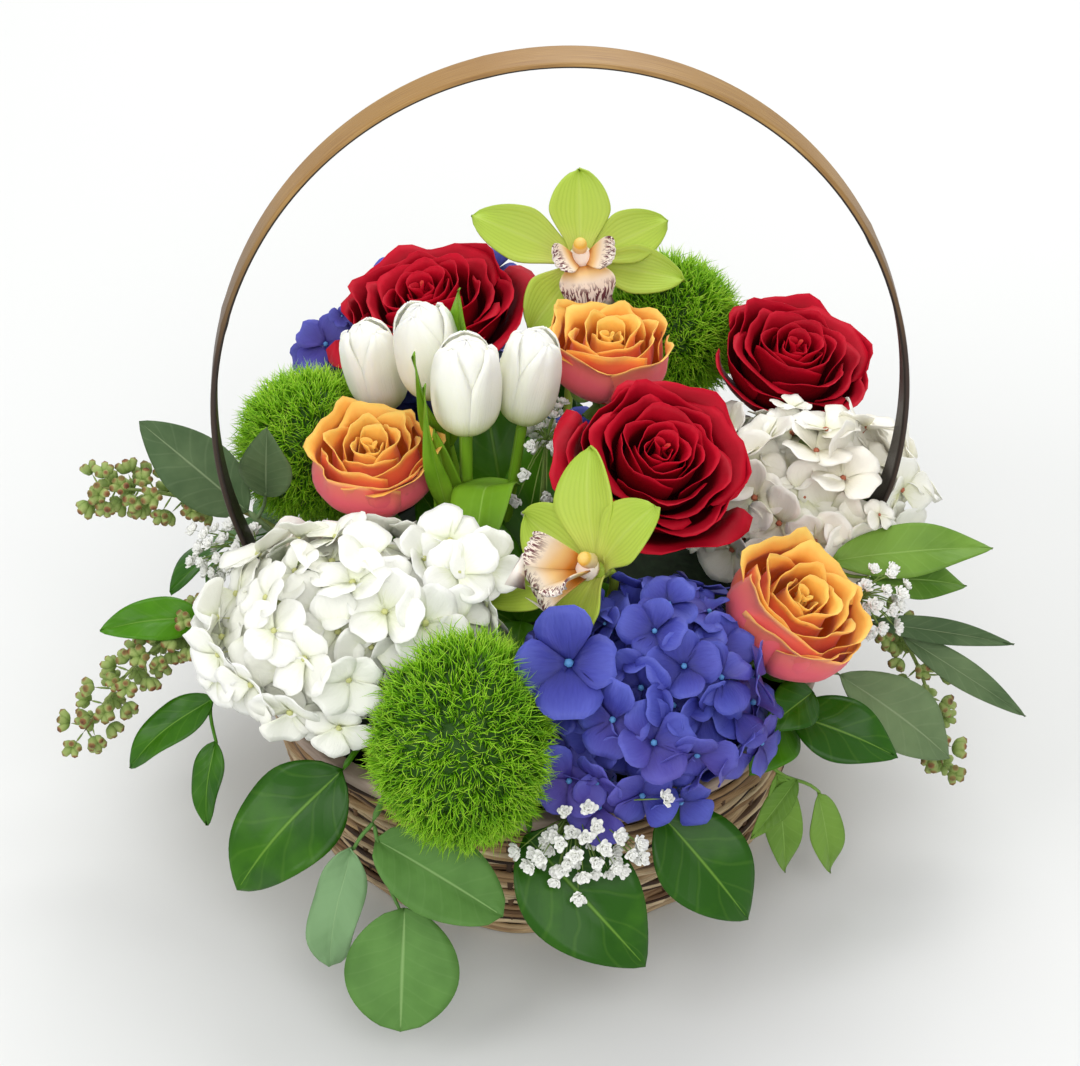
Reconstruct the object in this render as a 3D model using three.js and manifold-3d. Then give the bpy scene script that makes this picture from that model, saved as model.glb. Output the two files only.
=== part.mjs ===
// Flower basket arrangement, in millimetres, +Z up.
// The origin is the centre of the basket's flat underside. -Y is the front, the side that
// the arrangement is dressed for, and the bamboo hoop stands across it, close to the XZ plane.
import * as THREE from "three";
import { mergeVertices } from "three/addons/utils/BufferGeometryUtils.js";
import Module from "manifold-3d";

const wasm = await Module();
wasm.setup();

// Driving dimensions
const gap = 0.3;
const basket = {
  baseRadius: 117, flare: 0.19, height: 84, wall: 5, floor: 6, heel: 2,
  facets: 30, courses: 12, bulge: 2.9, under: 0.25,
};
const rim = { inner: 129.4, outer: 137.2, height: 8, facets: 30 };
const hoop = {
  centerX: 10.4, centerZ: 218.7, halfWidth: 159.3, rise: 187.6, strip: 16, thickness: 3,
  turn: 0.045, legRadius: 109.4, legFoot: 24, springs: 178, steps: 15,
};
const pin = { radius: 2, height: 58, clearance: 0.35, stand: 1.2, reach: 12 };
const liner = { bottomRadius: 99, topRadius: 111, height: 84, wall: 1.6, facets: 24 };
const foam = {
  bottomRadius: 96.5, topRadius: 107, waist: 0.8, waistHeight: 74, shoulder: 101, top: 0.7, topHeight: 112,
  crown: 118, facets: 20,
};
const root = { height: 93, clearance: 0.45, ring: 84 };
const petalDepth = 1.5;
const leafDepth = 0.9;

// Colours of the materials
const shades = {
  vine: 0x6b4d31, band: 0xa28c7c, bamboo: 0xbe945a, plastic: 0x2c3a2c, foam: 0x4d6b3c, pin: 0x8a6b45,
  red: 0xa00d18, orange: 0xf2953f, stem: 0x5c8a34, tulip: 0xf4f3ec, tulipGreen: 0x7fb53f,
  orchid: 0xc5d67a, lip: 0xf2e6d0, dianthus: 0x5fa01c, white: 0xf5f6ee, blue: 0x4a4fb8,
  breath: 0xfafafa, seed: 0x8f9c5a, salal: 0x2f7a2a, gum: 0x5f9a55, ruscus: 0x4d8a3e, sage: 0x6f8f72,
};

// Every head: its middle, the way that it faces, and the room that it fills
const roses = [
  { name: "rose_red_center", shade: "red", at: [55, -24, 211], facing: [0.14, -0.42, 0.88], radius: 42, turn: 0.2 },
  { name: "rose_red_back", shade: "red", at: [-55, 115, 202], facing: [-0.26, -0.02, 0.95], radius: 45, turn: 1.1 },
  { name: "rose_red_right", shade: "red", at: [126, 102, 179], facing: [0.26, -0.12, 0.94], radius: 41, turn: 0.6 },
  { name: "rose_orange_left", shade: "orange", at: [-77, 8, 187], facing: [-0.06, -0.34, 0.93], radius: 36, turn: 0.4 },
  { name: "rose_orange_top", shade: "orange", at: [34, 52, 218], facing: [0.08, -0.18, 0.97], radius: 35, turn: 0.9 },
  { name: "rose_orange_right", shade: "orange", at: [117, -73, 162], facing: [0.3, -0.44, 0.84], radius: 40, turn: 0 },
];
const tulips = [
  { name: "tulip_1", at: [-79, 62, 203], facing: [-0.22, -0.05, 0.97], radius: 13.5, half: 25, turn: 0.3, leaves: [] },
  { name: "tulip_2", at: [-52, 42, 226], facing: [-0.12, -0.05, 0.99], radius: 14.5, half: 26, turn: 1.2,
    leaves: [{ share: 0.7, tip: [-28, 48, 262], width: 16, face: [-0.7, -0.7, 0.2], bow: -0.06 }] },
  { name: "tulip_3", at: [-33, 4, 233], facing: [0.02, -0.08, 0.99], radius: 15.5, half: 26, turn: 0.7,
    foot: [-34, -6], leaves: [] },
  { name: "tulip_4", at: [-4, 18, 228], facing: [0.12, -0.05, 0.99], radius: 13.5, half: 26, turn: 0.1,
    foot: [-24, 0],
    leaves: [{ share: 0.66, tip: [-31, -52, 168], width: 31, face: [-0.3, -0.6, 0.75], bow: 0.24, rows: 4 }] },
];
const orchids = [
  {
    name: "orchid_back", at: [21, 124, 224], facing: [0.05, -0.66, 0.75], cup: 14, lipReach: 18, lipTurn: 0.1,
    tepals: [[88, 44, 27], [155, 56, 25], [22, 46, 24], [-14, 50, 22], [-128, 42, 24]],
  },
  {
    name: "orchid_front", at: [23, -82, 194], facing: [-0.62, -0.53, 0.54], cup: 24, lipReach: 30, lipTurn: -0.4,
    tepals: [[120, 52, 29], [64, 44, 27], [-70, 34, 24], [176, 44, 27], [-138, 58, 22]],
  },
];
const balls = [
  { name: "dianthus_front", at: [-33, -136, 140], room: [45, 52, 53], core: [39, 44, 45], needles: 56, spread: 0.5 },
  { name: "dianthus_left", at: [-110, 64, 154], room: [41, 42, 41], core: [34, 35, 34], needles: 42, spread: 0.55 },
  { name: "dianthus_back", at: [66, 142, 170], room: [41, 42, 41], core: [34, 35, 34], needles: 42, spread: 0.5 },
];
const hydrangeas = [
  {
    name: "hydrangea_white_left", shade: "white", at: [-84, -74, 150], room: [72, 58, 48],
    middle: [-90, -70, 153], core: [44, 36, 32], florets: 30, floret: 23, seed: 3,
  },
  {
    name: "hydrangea_white_right", shade: "white", at: [130, 36, 145], room: [59, 56, 44],
    middle: [132, 44, 144], core: [34, 33, 30], florets: 22, floret: 21, seed: 8,
  },
  {
    name: "hydrangea_blue_front", shade: "blue", at: [50, -100, 138], room: [64, 62, 56],
    middle: [54, -102, 141], core: [38, 33, 30], florets: 31, floret: 22, seed: 5,
  },
  {
    name: "hydrangea_blue_back", shade: "blue", at: [-64, 144, 152], room: [44, 40, 42],
    core: [29, 26, 27], florets: 15, floret: 22, seed: 6,
  },
];

// Leaves over and round the rim, a stem for each spray; over says that its stem crosses the rim
const foliage = [
  {
    name: "salal_front_center", shade: "salal", stem: { to: [-4, -146, 90], facing: [0, -0.8, -0.6], over: -93 },
    leaves: [{ base: [-4, -145, 90], tip: [48, -178, 40], width: 47, rows: 4, face: [0.1, -0.75, 0.65], bow: 0.12 }],
  },
  {
    name: "salal_front_right", shade: "salal", stem: { to: [60, -138, 96], facing: [0.2, -0.8, -0.5], over: -57 },
    leaves: [{ base: [55, -137, 96], tip: [95, -156, 48], width: 44, rows: 4, face: [0.3, -0.8, 0.5], bow: 0.12 }],
  },
  {
    name: "eucalyptus_front", shade: "gum", stem: { to: [-75, -142, 94], facing: [-0.4, -0.8, -0.5], over: -121 },
    twigs: [[[-74, -142, 95], [-69, -158, 78], [-61, -169, 63]], [[-74, -142, 95], [-80, -144, 88], [-84, -145, 80]]],
    leaves: [
      { base: [-73, -147, 89], tip: [-16, -176, 69], width: 38, rows: 4, face: [0.1, -0.6, 0.8], widest: 0.5, bow: 0.07 },
      { base: [-60, -167, 66], tip: [-62, -202, 23], width: 53, rows: 4, face: [0, -0.79, 0.61], widest: 0.5, bow: 0.05 },
      { base: [-84, -144, 82], tip: [-95, -169, 31], width: 27, face: [-0.3, -0.8, 0.5], widest: 0.5, wave: 0.06 },
    ],
  },
  {
    name: "salal_left", shade: "salal", stem: { to: [-90, -112, 98], facing: [-0.5, -0.6, -0.6], over: -129 },
    leaves: [{ base: [-89, -111, 99], tip: [-138, -133, 44], width: 47, rows: 4, face: [-0.5, -0.7, 0.5], bow: 0.12 }],
  },
  {
    name: "salal_left_low", shade: "salal", stem: { to: [-148, -50, 104], facing: [-0.9, -0.3, -0.3], over: -163 },
    twigs: [[[-146, -49, 105], [-152, -42, 116], [-160, -32, 126]],
      [[-147, -50, 104], [-154, -64, 96], [-150, -80, 84]]],
    leaves: [
      { base: [-159, -33, 125], tip: [-206, -40, 122], width: 23, face: [-0.1, -0.5, 0.86], bow: 0.1 },
      { base: [-152, -60, 98], tip: [-192, -72, 64], width: 22, face: [-0.4, -0.5, 0.77], bow: 0.15 },
      { base: [-151, -77, 86], tip: [-155, -98, 52], width: 18, face: [-0.5, -0.7, 0.5], bow: 0.1 },
    ],
  },
  {
    name: "eucalyptus_left", shade: "sage", stem: { to: [-140, 16, 152], facing: [-0.6, 0.1, 0.8], foot: [-78, 14] },
    twigs: [[[-136, 16, 144], [-131, 12, 156], [-129, 8, 168]]],
    leaves: [
      { base: [-139, 16, 150], tip: [-191, 44, 183], width: 34, face: [-0.1, -0.7, 0.7], bow: 0.1 },
      { base: [-129, 9, 165], tip: [-126, 6, 207], width: 26, face: [-0.1, -0.95, 0.3], bow: 0.06 },
    ],
  },
  {
    name: "ruscus_right", shade: "ruscus", stem: { to: [139, -22, 150], facing: [0.8, 0, 0.5], foot: [84, -14] },
    twigs: [[[134, -22, 147], [146, -28, 146], [156, -32, 148]]],
    leaves: [
      { base: [138, -22, 150], tip: [214, -16, 152], width: 27, face: [0, -0.5, 0.86], bow: 0.08 },
      { base: [155, -33, 148], tip: [202, -22, 134], width: 22, face: [0.1, -0.4, 0.9], bow: 0.08 },
    ],
  },
  {
    name: "willow_right", shade: "sage", stem: { to: [158, -36, 124], facing: [0.95, -0.1, 0], over: -14 },
    twigs: [[[156, -36, 124], [166, -36, 122], [173, -37, 116]]],
    leaves: [
      { base: [157, -36, 124], tip: [226, -30, 105], width: 13, face: [0.1, -0.6, 0.8], bow: 0.06, wave: 0.01 },
      { base: [172, -37, 117], tip: [232, -48, 76], width: 15, face: [0.1, -0.7, 0.7], bow: 0.06, wave: 0.01 },
    ],
  },
  {
    name: "salal_center", shade: "salal", stem: { to: [-8, -48, 136], facing: [-0.1, -0.2, 1], foot: [-6, -34] },
    twigs: [[[-7, -41, 122], [8, -32, 124], [27, -31, 126]]],
    leaves: [
      { base: [-8, -46, 130], tip: [-44, -44, 152], width: 32, face: [0.1, -0.6, 0.8], bow: 0.1 },
      { base: [-8, -48, 134], tip: [-12, -86, 128], width: 26, face: [0, -0.5, 0.86], bow: 0.1 },
      { base: [-8, -46, 132], tip: [6, -22, 168], width: 26, face: [0.1, -0.7, 0.7], bow: 0.1 },
      { base: [25, -31, 124], tip: [74, -48, 146], width: 26, face: [0, -0.5, 0.86], bow: 0.1 },
    ],
  },
  {
    name: "eucalyptus_right", shade: "sage", stem: { to: [142, -60, 112], facing: [0.9, -0.3, -0.2], over: -24 },
    leaves: [{ base: [141, -60, 112], tip: [193, -76, 74], width: 35, face: [0.2, -0.6, 0.77], widest: 0.5 }],
  },
  {
    name: "salal_right", shade: "salal", stem: { to: [118, -84, 102], facing: [0.7, -0.6, -0.3], over: -34 },
    twigs: [[[115, -82, 103], [121, -88, 108], [120, -93, 111]]],
    leaves: [
      { base: [117, -83, 102], tip: [160, -100, 76], width: 32, face: [0.1, -0.6, 0.8], bow: 0.1 },
      { base: [121, -92, 110], tip: [97, -112, 106], width: 20, face: [0.2, -0.6, 0.77], bow: 0.2 },
    ],
  },
  {
    name: "trailing_right", shade: "ruscus", stem: { to: [103, -100, 98], facing: [0.6, -0.6, -0.5], over: -44 },
    twigs: [[[102, -99, 99], [112, -102, 88], [126, -96, 76], [133, -92, 66]]],
    leaves: [
      { base: [110, -102, 89], tip: [116, -106, 30], width: 19, face: [0.3, -0.85, 0.4], bow: 0.06 },
      { base: [131, -93, 68], tip: [139, -92, 16], width: 18, face: [0.4, -0.8, 0.4], bow: 0.06 },
      { base: [120, -99, 82], tip: [98, -120, 64], width: 13, face: [0.1, -0.8, 0.6], bow: 0.1 },
    ],
  },
];
const backSprays = [
  { name: "salal_back_right", shade: "salal", angle: 36 },
  { name: "salal_back_center", shade: "salal", angle: 84 },
  { name: "salal_back_left", shade: "salal", angle: 152 },
];
// Seed capsules hang along each line from the end of its stem
const seeded = [
  {
    name: "seeded_left_high", stem: { to: [-150, 34, 140], facing: [-0.9, 0, 0.4], foot: [-80, 26] },
    line: [[-148, 34, 139], [-172, 28, 150], [-192, 24, 157], [-211, 20, 161]], clusters: 7, seed: 4,
  },
  {
    name: "seeded_left_low", stem: { to: [-146, -30, 122], facing: [-0.9, -0.2, 0.1], foot: [-82, -20] },
    line: [[-144, -30, 122], [-166, -36, 120], [-192, -46, 104], [-216, -60, 76]], clusters: 9, seed: 9,
  },
  {
    name: "seeded_right", stem: { to: [158, -22, 118], facing: [0.9, -0.1, -0.1], foot: [88, -6] },
    line: [[156, -22, 118], [172, -30, 112], [186, -42, 86], [194, -60, 54]], clusters: 8, seed: 12,
  },
];
// Clouds of tiny double blossoms
const breath = [
  { name: "breath_left", at: [-150, 4, 134], room: [22, 16, 22], foot: [-74, 4], blossoms: 13, seed: 2 },
  { name: "breath_front", at: [20, -164, 99], room: [34, 14, 18], foot: [10, -80], blossoms: 12, seed: 7 },
  { name: "breath_center", at: [6, 30, 190], room: [16, 14, 16], foot: [1, -2], blossoms: 9, seed: 1 },
  { name: "breath_right", at: [160, -42, 142], room: [16, 18, 22], foot: [82, -32], blossoms: 10, seed: 5 },
];

const vec = (values) => new THREE.Vector3(...values);
const zAxis = new THREE.Vector3(0, 0, 1);

function seededDraw(seed) {
  let state = seed * 2654435761 + 12345;
  return () => {
    state = (Math.imul(state ^ (state >>> 15), 2246822519) + 374761393) >>> 0;
    return state / 4294967296;
  };
}

// Solids

function meshOf(points, triangles) {
  const geometry = new THREE.BufferGeometry();
  geometry.setAttribute("position", new THREE.Float32BufferAttribute(points.flatMap((p) => [p.x, p.y, p.z]), 3));
  geometry.setIndex(triangles.flat());
  return geometry;
}

// A closed mesh as a solid, with its faces pointing out and no flat triangles
function solidOf(geometry) {
  const bare = geometry.clone();
  bare.deleteAttribute("normal");
  bare.deleteAttribute("uv");
  const merged = mergeVertices(bare, 1e-4);
  const place = merged.attributes.position;
  const index = merged.index.array;
  const kept = [];
  let volume = 0;
  const [a, b, c] = [new THREE.Vector3(), new THREE.Vector3(), new THREE.Vector3()];
  for (let at = 0; at < index.length; at += 3) {
    const [i, j, k] = [index[at], index[at + 1], index[at + 2]];
    if (i === j || j === k || i === k) continue;
    kept.push([i, j, k]);
    a.fromBufferAttribute(place, i);
    b.fromBufferAttribute(place, j);
    c.fromBufferAttribute(place, k);
    volume += a.dot(b.cross(c));
  }
  const outward = volume > 0 ? kept : kept.map(([i, j, k]) => [i, k, j]);
  return new wasm.Manifold(new wasm.Mesh({
    numProp: 3,
    vertProperties: new Float32Array(place.array),
    triVerts: new Uint32Array(outward.flat()),
  }));
}

// Joins pieces into one body; a hollow that joining seals is filled and a loose scrap dropped
function fuse(geometries) {
  let solids = geometries.map(solidOf);
  while (solids.length > 1) {
    const joined = [];
    for (let at = 0; at < solids.length; at += 2) {
      joined.push(at + 1 < solids.length ? solids[at].add(solids[at + 1]) : solids[at]);
    }
    solids = joined;
  }
  const bodies = solids[0].decompose();
  return bodies.reduce((best, body) => (body.volume() > best.volume() ? body : best));
}

function geometryOf(solid) {
  const mesh = solid.getMesh();
  const geometry = new THREE.BufferGeometry();
  geometry.setAttribute("position", new THREE.Float32BufferAttribute(mesh.vertProperties, 3));
  geometry.setIndex([...mesh.triVerts]);
  geometry.computeVertexNormals();
  return geometry;
}

// A solid through rings of points, closed at both ends by a fan
function loft(rings, start = null, end = null) {
  const count = rings[0].length;
  const middle = (ring) => ring.reduce((sum, p) => sum.add(p), new THREE.Vector3()).divideScalar(count);
  const points = rings.flat();
  points.push(start ?? middle(rings[0]), end ?? middle(rings[rings.length - 1]));
  const first = points.length - 2;
  const last = points.length - 1;
  const top = (rings.length - 1) * count;
  const triangles = [];
  for (let side = 0; side < count; side += 1) {
    const next = (side + 1) % count;
    triangles.push([first, next, side], [last, top + side, top + next]);
    for (let row = 0; row + 1 < rings.length; row += 1) {
      const low = row * count;
      const high = low + count;
      triangles.push([low + side, low + next, high + next], [low + side, high + next, high + side]);
    }
  }
  return meshOf(points, triangles);
}

// A ring-shaped solid: the last ring of points joins the first
function closedLoft(rings) {
  const count = rings[0].length;
  const triangles = [];
  for (let row = 0; row < rings.length; row += 1) {
    const low = row * count;
    const high = ((row + 1) % rings.length) * count;
    for (let side = 0; side < count; side += 1) {
      const next = (side + 1) % count;
      triangles.push([low + side, low + next, high + next], [low + side, high + next, high + side]);
    }
  }
  return meshOf(rings.flat(), triangles);
}

function circle(radius, height, facets, offset = 0) {
  return Array.from({ length: facets }, (_, side) => {
    const angle = ((side + offset) / facets) * 2 * Math.PI;
    return new THREE.Vector3(radius * Math.cos(angle), radius * Math.sin(angle), height);
  });
}

// A thin sheet with its mid surface at place(u, v), u from 0 to 1 along it and v from -1 to 1
// across it, and depth(u, v) thick; both faces are split into triangles alike
function blade({ rows, columns, place, depth }) {
  const points = [];
  const lower = [];
  const inside = (value, low, high) => Math.min(Math.max(value, low), high);
  for (let row = 0; row <= rows; row += 1) {
    for (let column = 0; column <= columns; column += 1) {
      const u = row / rows;
      const v = (2 * column) / columns - 1;
      const [s, t] = [inside(u, 0.04, 0.94), inside(v, -0.94, 0.94)];
      const along = place(s + 0.03, t).sub(place(s - 0.03, t));
      const across = place(s, t + 0.03).sub(place(s, t - 0.03));
      const half = along.cross(across).normalize().multiplyScalar(depth(u, v) / 2);
      points.push(place(u, v).add(half));
      lower.push(place(u, v).sub(half));
    }
  }
  const count = points.length;
  const id = (row, column) => row * (columns + 1) + column;
  const triangles = [];
  const wall = (p, q) => triangles.push([q, p, p + count], [q, p + count, q + count]);
  for (let row = 0; row < rows; row += 1) {
    for (let column = 0; column < columns; column += 1) {
      const [a, b] = [id(row, column), id(row, column + 1)];
      const [c, d] = [id(row + 1, column + 1), id(row + 1, column)];
      triangles.push([a, b, c], [a, c, d]);
      triangles.push([a + count, c + count, b + count], [a + count, d + count, c + count]);
    }
    wall(id(row, columns), id(row + 1, columns));
    wall(id(row + 1, 0), id(row, 0));
  }
  for (let column = 0; column < columns; column += 1) {
    wall(id(0, column), id(0, column + 1));
    wall(id(rows, column + 1), id(rows, column));
  }
  return meshOf([...points, ...lower], triangles);
}

// The depth of a petal, which thins out to its sides and its tip
function petalEdge(u, v) {
  return Math.abs(v) > 0.99 || u > 0.99 ? 0 : petalDepth;
}

// Turns a shape made round +Z to face a direction, and moves it there
function aimed(geometry, at, facing, turn = 0) {
  const spin = new THREE.Quaternion().setFromAxisAngle(zAxis, turn);
  const swing = new THREE.Quaternion().setFromUnitVectors(zAxis, vec(facing).normalize());
  const matrix = new THREE.Matrix4().compose(vec(at), swing.multiply(spin), new THREE.Vector3(1, 1, 1));
  return geometry.clone().applyMatrix4(matrix);
}

function rod(path, radius, sides = 5, steps = 3) {
  const outline = new THREE.Shape(circle(radius, 0, sides).map((p) => new THREE.Vector2(p.x, p.y)));
  return new THREE.ExtrudeGeometry(outline, { steps, extrudePath: path, bevelEnabled: false, curveSegments: 1 });
}

function needle(from, to, radius, sides = 3) {
  const axis = to.clone().sub(from);
  const length = axis.length();
  const spike = loft([circle(radius, 0, sides)], new THREE.Vector3(), new THREE.Vector3(0, 0, length));
  return aimed(spike, from.toArray(), axis.toArray());
}

// Directions spread evenly over a ball
function evenDirections(count) {
  const golden = Math.PI * (3 - Math.sqrt(5));
  return Array.from({ length: count }, (_, step) => {
    const height = 1 - (2 * (step + 0.5)) / count;
    const across = Math.sqrt(1 - height * height);
    return new THREE.Vector3(across * Math.cos(golden * step), across * Math.sin(golden * step), height);
  });
}

function ellipsoid(at, radii, detail = 1) {
  return new THREE.IcosahedronGeometry(1, detail).scale(...radii).translate(...at);
}

// Room

// What the repeats of a head keep out of: the heads that rank before it, the hoop and the basket
const rooms = [
  ...roses.map(({ name, at, radius }) => ({ name, at, radii: [radius, radius, radius] })),
  ...tulips.map(({ name, at, radius, half }) => ({ name, at, radii: [radius, radius, half] })),
  ...orchids.map(({ name, at }) => ({ name, at, radii: [24, 22, 22] })),
  ...balls.map(({ name, at, room }) => ({ name, at, radii: room })),
  ...hydrangeas.map(({ name, at, middle = at, core }) => ({ name, at: middle, radii: core })),
];

function inRoom(point, room, margin) {
  const [x, y, z] = point.toArray().map((value, axis) => (value - room.at[axis]) / (room.radii[axis] + margin));
  return x * x + y * y + z * z < 1;
}

function hoopX(height, side) {
  const lift = THREE.MathUtils.clamp((height - hoop.centerZ) / hoop.rise, -1, 1);
  const high = hoop.centerX + side * hoop.halfWidth * Math.sqrt(1 - lift * lift);
  const low = side * (hoop.legRadius + basket.flare * height);
  const blend = THREE.MathUtils.smoothstep(height, basket.height, hoop.springs);
  return THREE.MathUtils.lerp(low, high, blend);
}

function nearHoop(point, margin) {
  const side = Math.sign(point.x);
  const x = hoopX(Math.min(point.z, hoop.centerZ + 60), side) * Math.cos(hoop.turn);
  return Math.hypot(point.x - x, Math.max(Math.abs(point.y - x * hoop.turn) - hoop.strip / 2, 0)) < margin;
}

function inBasket(point, margin) {
  const out = Math.hypot(point.x, point.y);
  const level = out < foam.topRadius ? foam.crown : basket.height + rim.height;
  return point.z < level + margin && out < rim.outer + margin;
}

// Points of the stems and leaves already in place, each with the room that it takes
const taken = [];

function crowded(point, owner, margin) {
  if (nearHoop(point, margin + 5) || inBasket(point, margin)) return true;
  if (taken.some((spot) => spot.owner !== owner && spot.point.distanceTo(point) < spot.radius + margin)) return true;
  return rooms.some((room) => room.name !== owner && inRoom(point, room, margin));
}

// Stems

const sockets = [];

// A stem from its root in the foam to top, which it meets along facing; one that crosses the
// rim at the angle over, in degrees, rises first
function standStem(owner, top, facing, { spread, foot = null, over = null, reach = 22, radius = 2.4, sides = 4 }) {
  const around = THREE.MathUtils.degToRad(over ?? 0);
  const out = new THREE.Vector3(Math.cos(around), Math.sin(around), 0);
  const start = new THREE.Vector3(...(foot ?? [top.x * spread, top.y * spread]), root.height);
  if (over !== null) start.copy(out).multiplyScalar(root.ring).setZ(root.height);
  const toward = top.clone().sub(start).normalize();
  const first = start.clone().addScaledVector(toward, 18);
  if (over !== null) first.copy(out).multiplyScalar(root.ring + 17).setZ(root.height + 20);
  const last = top.clone().addScaledVector(vec(facing).normalize(), -reach);
  const path = new THREE.CubicBezierCurve3(start, first, last, top);
  const deeper = start.clone().addScaledVector(first.clone().sub(start).normalize(), -0.6);
  sockets.push({ path: new THREE.CubicBezierCurve3(deeper, first, last, top), radius: radius + root.clearance, sides });
  path.getPoints(24).forEach((point) => taken.push({ owner, point, radius: radius + 1 }));
  return { path, body: rod(path, radius, sides) };
}

// Basket, hoop and what is inside

function wallRadius(height) {
  return basket.baseRadius + basket.flare * height;
}

// Split vine woven in courses, each passing over every other stake
function basketWall() {
  const rings = [];
  for (let edge = 0; edge <= 2 * basket.courses; edge += 1) {
    const height = (edge / (2 * basket.courses)) * basket.height;
    const course = Math.floor(edge / 2);
    const ring = circle(1, height, basket.facets).map((p, side) => {
      const over = (side + course) % 2 === 0 ? 1 : basket.under;
      const swell = edge % 2 === 1 ? over * basket.bulge : 0;
      const radius = wallRadius(height) + swell - (edge === 0 ? basket.heel : 0);
      return new THREE.Vector3(p.x * radius, p.y * radius, height);
    });
    rings.push(ring);
  }
  const inner = basket.wall;
  rings.push(circle(wallRadius(basket.height) - inner, basket.height, basket.facets));
  rings.push(circle(wallRadius(basket.floor) - inner, basket.floor, basket.facets));
  return solidOf(loft(rings));
}

function basketRim() {
  const low = basket.height + gap;
  const high = low + rim.height - 1;
  const { inner, outer, facets } = rim;
  const profile = [[inner, low], [outer - 1, low], [outer, low + 4], [outer - 2, high], [inner + 1, high]];
  const outline = [...profile, profile[0]].map(([radius, height]) => new THREE.Vector2(radius, height));
  return new THREE.LatheGeometry(outline, facets).rotateX(Math.PI / 2);
}

// The side line of the hoop's band, from one foot over the top to the other
function hoopLine(offset) {
  const path = new THREE.CatmullRomCurve3(hoopStations());
  const line = path.getSpacedPoints(hoop.steps * 2);
  return line.map((point, step) => {
    const ahead = line[Math.min(step + 1, line.length - 1)];
    const behind = line[Math.max(step - 1, 0)];
    const run = ahead.clone().sub(behind).normalize();
    return new THREE.Vector2(point.x - run.z * offset, point.z + run.x * offset);
  });
}

function hoopStations() {
  const legHeights = [hoop.legFoot, 50, basket.height, 115, 145, 180, 218];
  const left = legHeights.map((height) => new THREE.Vector3(hoopX(height, -1), 0, height));
  const right = legHeights.map((height) => new THREE.Vector3(hoopX(height, 1), 0, height)).reverse();
  const over = [160, 140, 120, 100, 80, 60, 40, 20].map((degrees) => {
    const angle = THREE.MathUtils.degToRad(degrees);
    const x = hoop.centerX + hoop.halfWidth * Math.cos(angle);
    return new THREE.Vector3(x, 0, hoop.centerZ + hoop.rise * Math.sin(angle));
  });
  return [...left, ...over, ...right];
}

function hoopBand() {
  const outline = [...hoopLine(hoop.thickness / 2), ...hoopLine(-hoop.thickness / 2).reverse()];
  const band = new THREE.ExtrudeGeometry(new THREE.Shape(outline), { depth: hoop.strip, bevelEnabled: false });
  band.translate(0, 0, -hoop.strip / 2).rotateX(Math.PI / 2).rotateZ(hoop.turn);
  return solidOf(band);
}

function pinBar(side, radius, slack = 0) {
  const outside = wallRadius(pin.height) + basket.bulge + pin.stand + slack;
  const length = pin.reach + basket.bulge + 2 * slack;
  const bar = new THREE.CylinderGeometry(radius, radius, length, 6).rotateZ(Math.PI / 2);
  return bar.translate(outside - length / 2, 0, pin.height).rotateZ(side < 0 ? Math.PI + hoop.turn : hoop.turn);
}

function linerCup() {
  const { bottomRadius, topRadius, height, wall } = liner;
  const low = basket.floor + gap;
  const outline = [[0, low], [bottomRadius, low], [topRadius, height], [topRadius - wall, height],
    [bottomRadius - wall, low + wall], [0, low + wall]];
  const turned = new THREE.LatheGeometry(outline.map((p) => new THREE.Vector2(...p)), liner.facets);
  return turned.rotateX(Math.PI / 2);
}

function foamBlock() {
  const low = basket.floor + gap + liner.wall + gap;
  const { bottomRadius, topRadius, crown, facets } = foam;
  const waist = THREE.MathUtils.lerp(bottomRadius, topRadius, foam.waist);
  const rings = [circle(bottomRadius, low, facets), circle(waist, foam.waistHeight, facets),
    circle(waist, foam.shoulder, facets), circle(waist * foam.top, foam.topHeight, facets)];
  return solidOf(loft(rings, null, new THREE.Vector3(0, 0, crown)));
}

function drilledFoam() {
  const holes = sockets.map(({ path, radius, sides }) => solidOf(rod(path, radius, sides)));
  return holes.reduce((block, hole) => block.subtract(hole), foamBlock());
}

// Roses

// A layer of petals round the rose's axis, each lapping over the next: at its own middle a
// petal stands highest, and its far side lies outside the near side of the next one
function petalLayer({ radius, count, turn, from, to, height, lip, drop }) {
  const ring = (u, inset) => Array.from({ length: count * 3 }, (_, step) => {
    const v = (step % 3) - 1;
    const angle = turn + ((Math.floor(step / 3) + v * 0.47) / count) * 2 * Math.PI;
    const flare = THREE.MathUtils.lerp(from, to, u ** 1.6) + lip * u ** 4 * (1 - 0.35 * v * v);
    const out = radius * flare * (1 + 0.09 * v) - inset;
    const rise = THREE.MathUtils.lerp(-0.55, height, u ** 0.8) - drop * u * u * v * v;
    return new THREE.Vector3(out * Math.cos(angle), out * Math.sin(angle), radius * rise + inset * 0.6);
  });
  return closedLoft([ring(0, petalDepth), ring(0.55, petalDepth), ring(1, 0), ring(0.55, 0), ring(0, 0)]);
}

function roseBloom({ radius, turn, at, facing }) {
  const layers = [
    { count: 3, from: 0.2, to: 0.2, height: 0.36, lip: 0.03, drop: 0.06, turn: 0.3 },
    { count: 4, from: 0.28, to: 0.46, height: 0.34, lip: 0.12, drop: 0.12, turn: 0.9 },
    { count: 5, from: 0.34, to: 0.72, height: 0.22, lip: 0.28, drop: 0.16, turn: 0 },
  ];
  const profile = [[0.18, -0.76], [0.42, -0.6], [0.36, -0.3]];
  const heart = loft(profile.map(([out, rise]) => circle(radius * out, radius * rise, 6)), null,
    new THREE.Vector3(0, 0, radius * 0.22));
  const pieces = [heart, ...layers.map((layer) => petalLayer({ ...layer, radius }))];
  return geometryOf(fuse(pieces.map((piece) => aimed(piece, at, facing, turn))));
}

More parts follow.
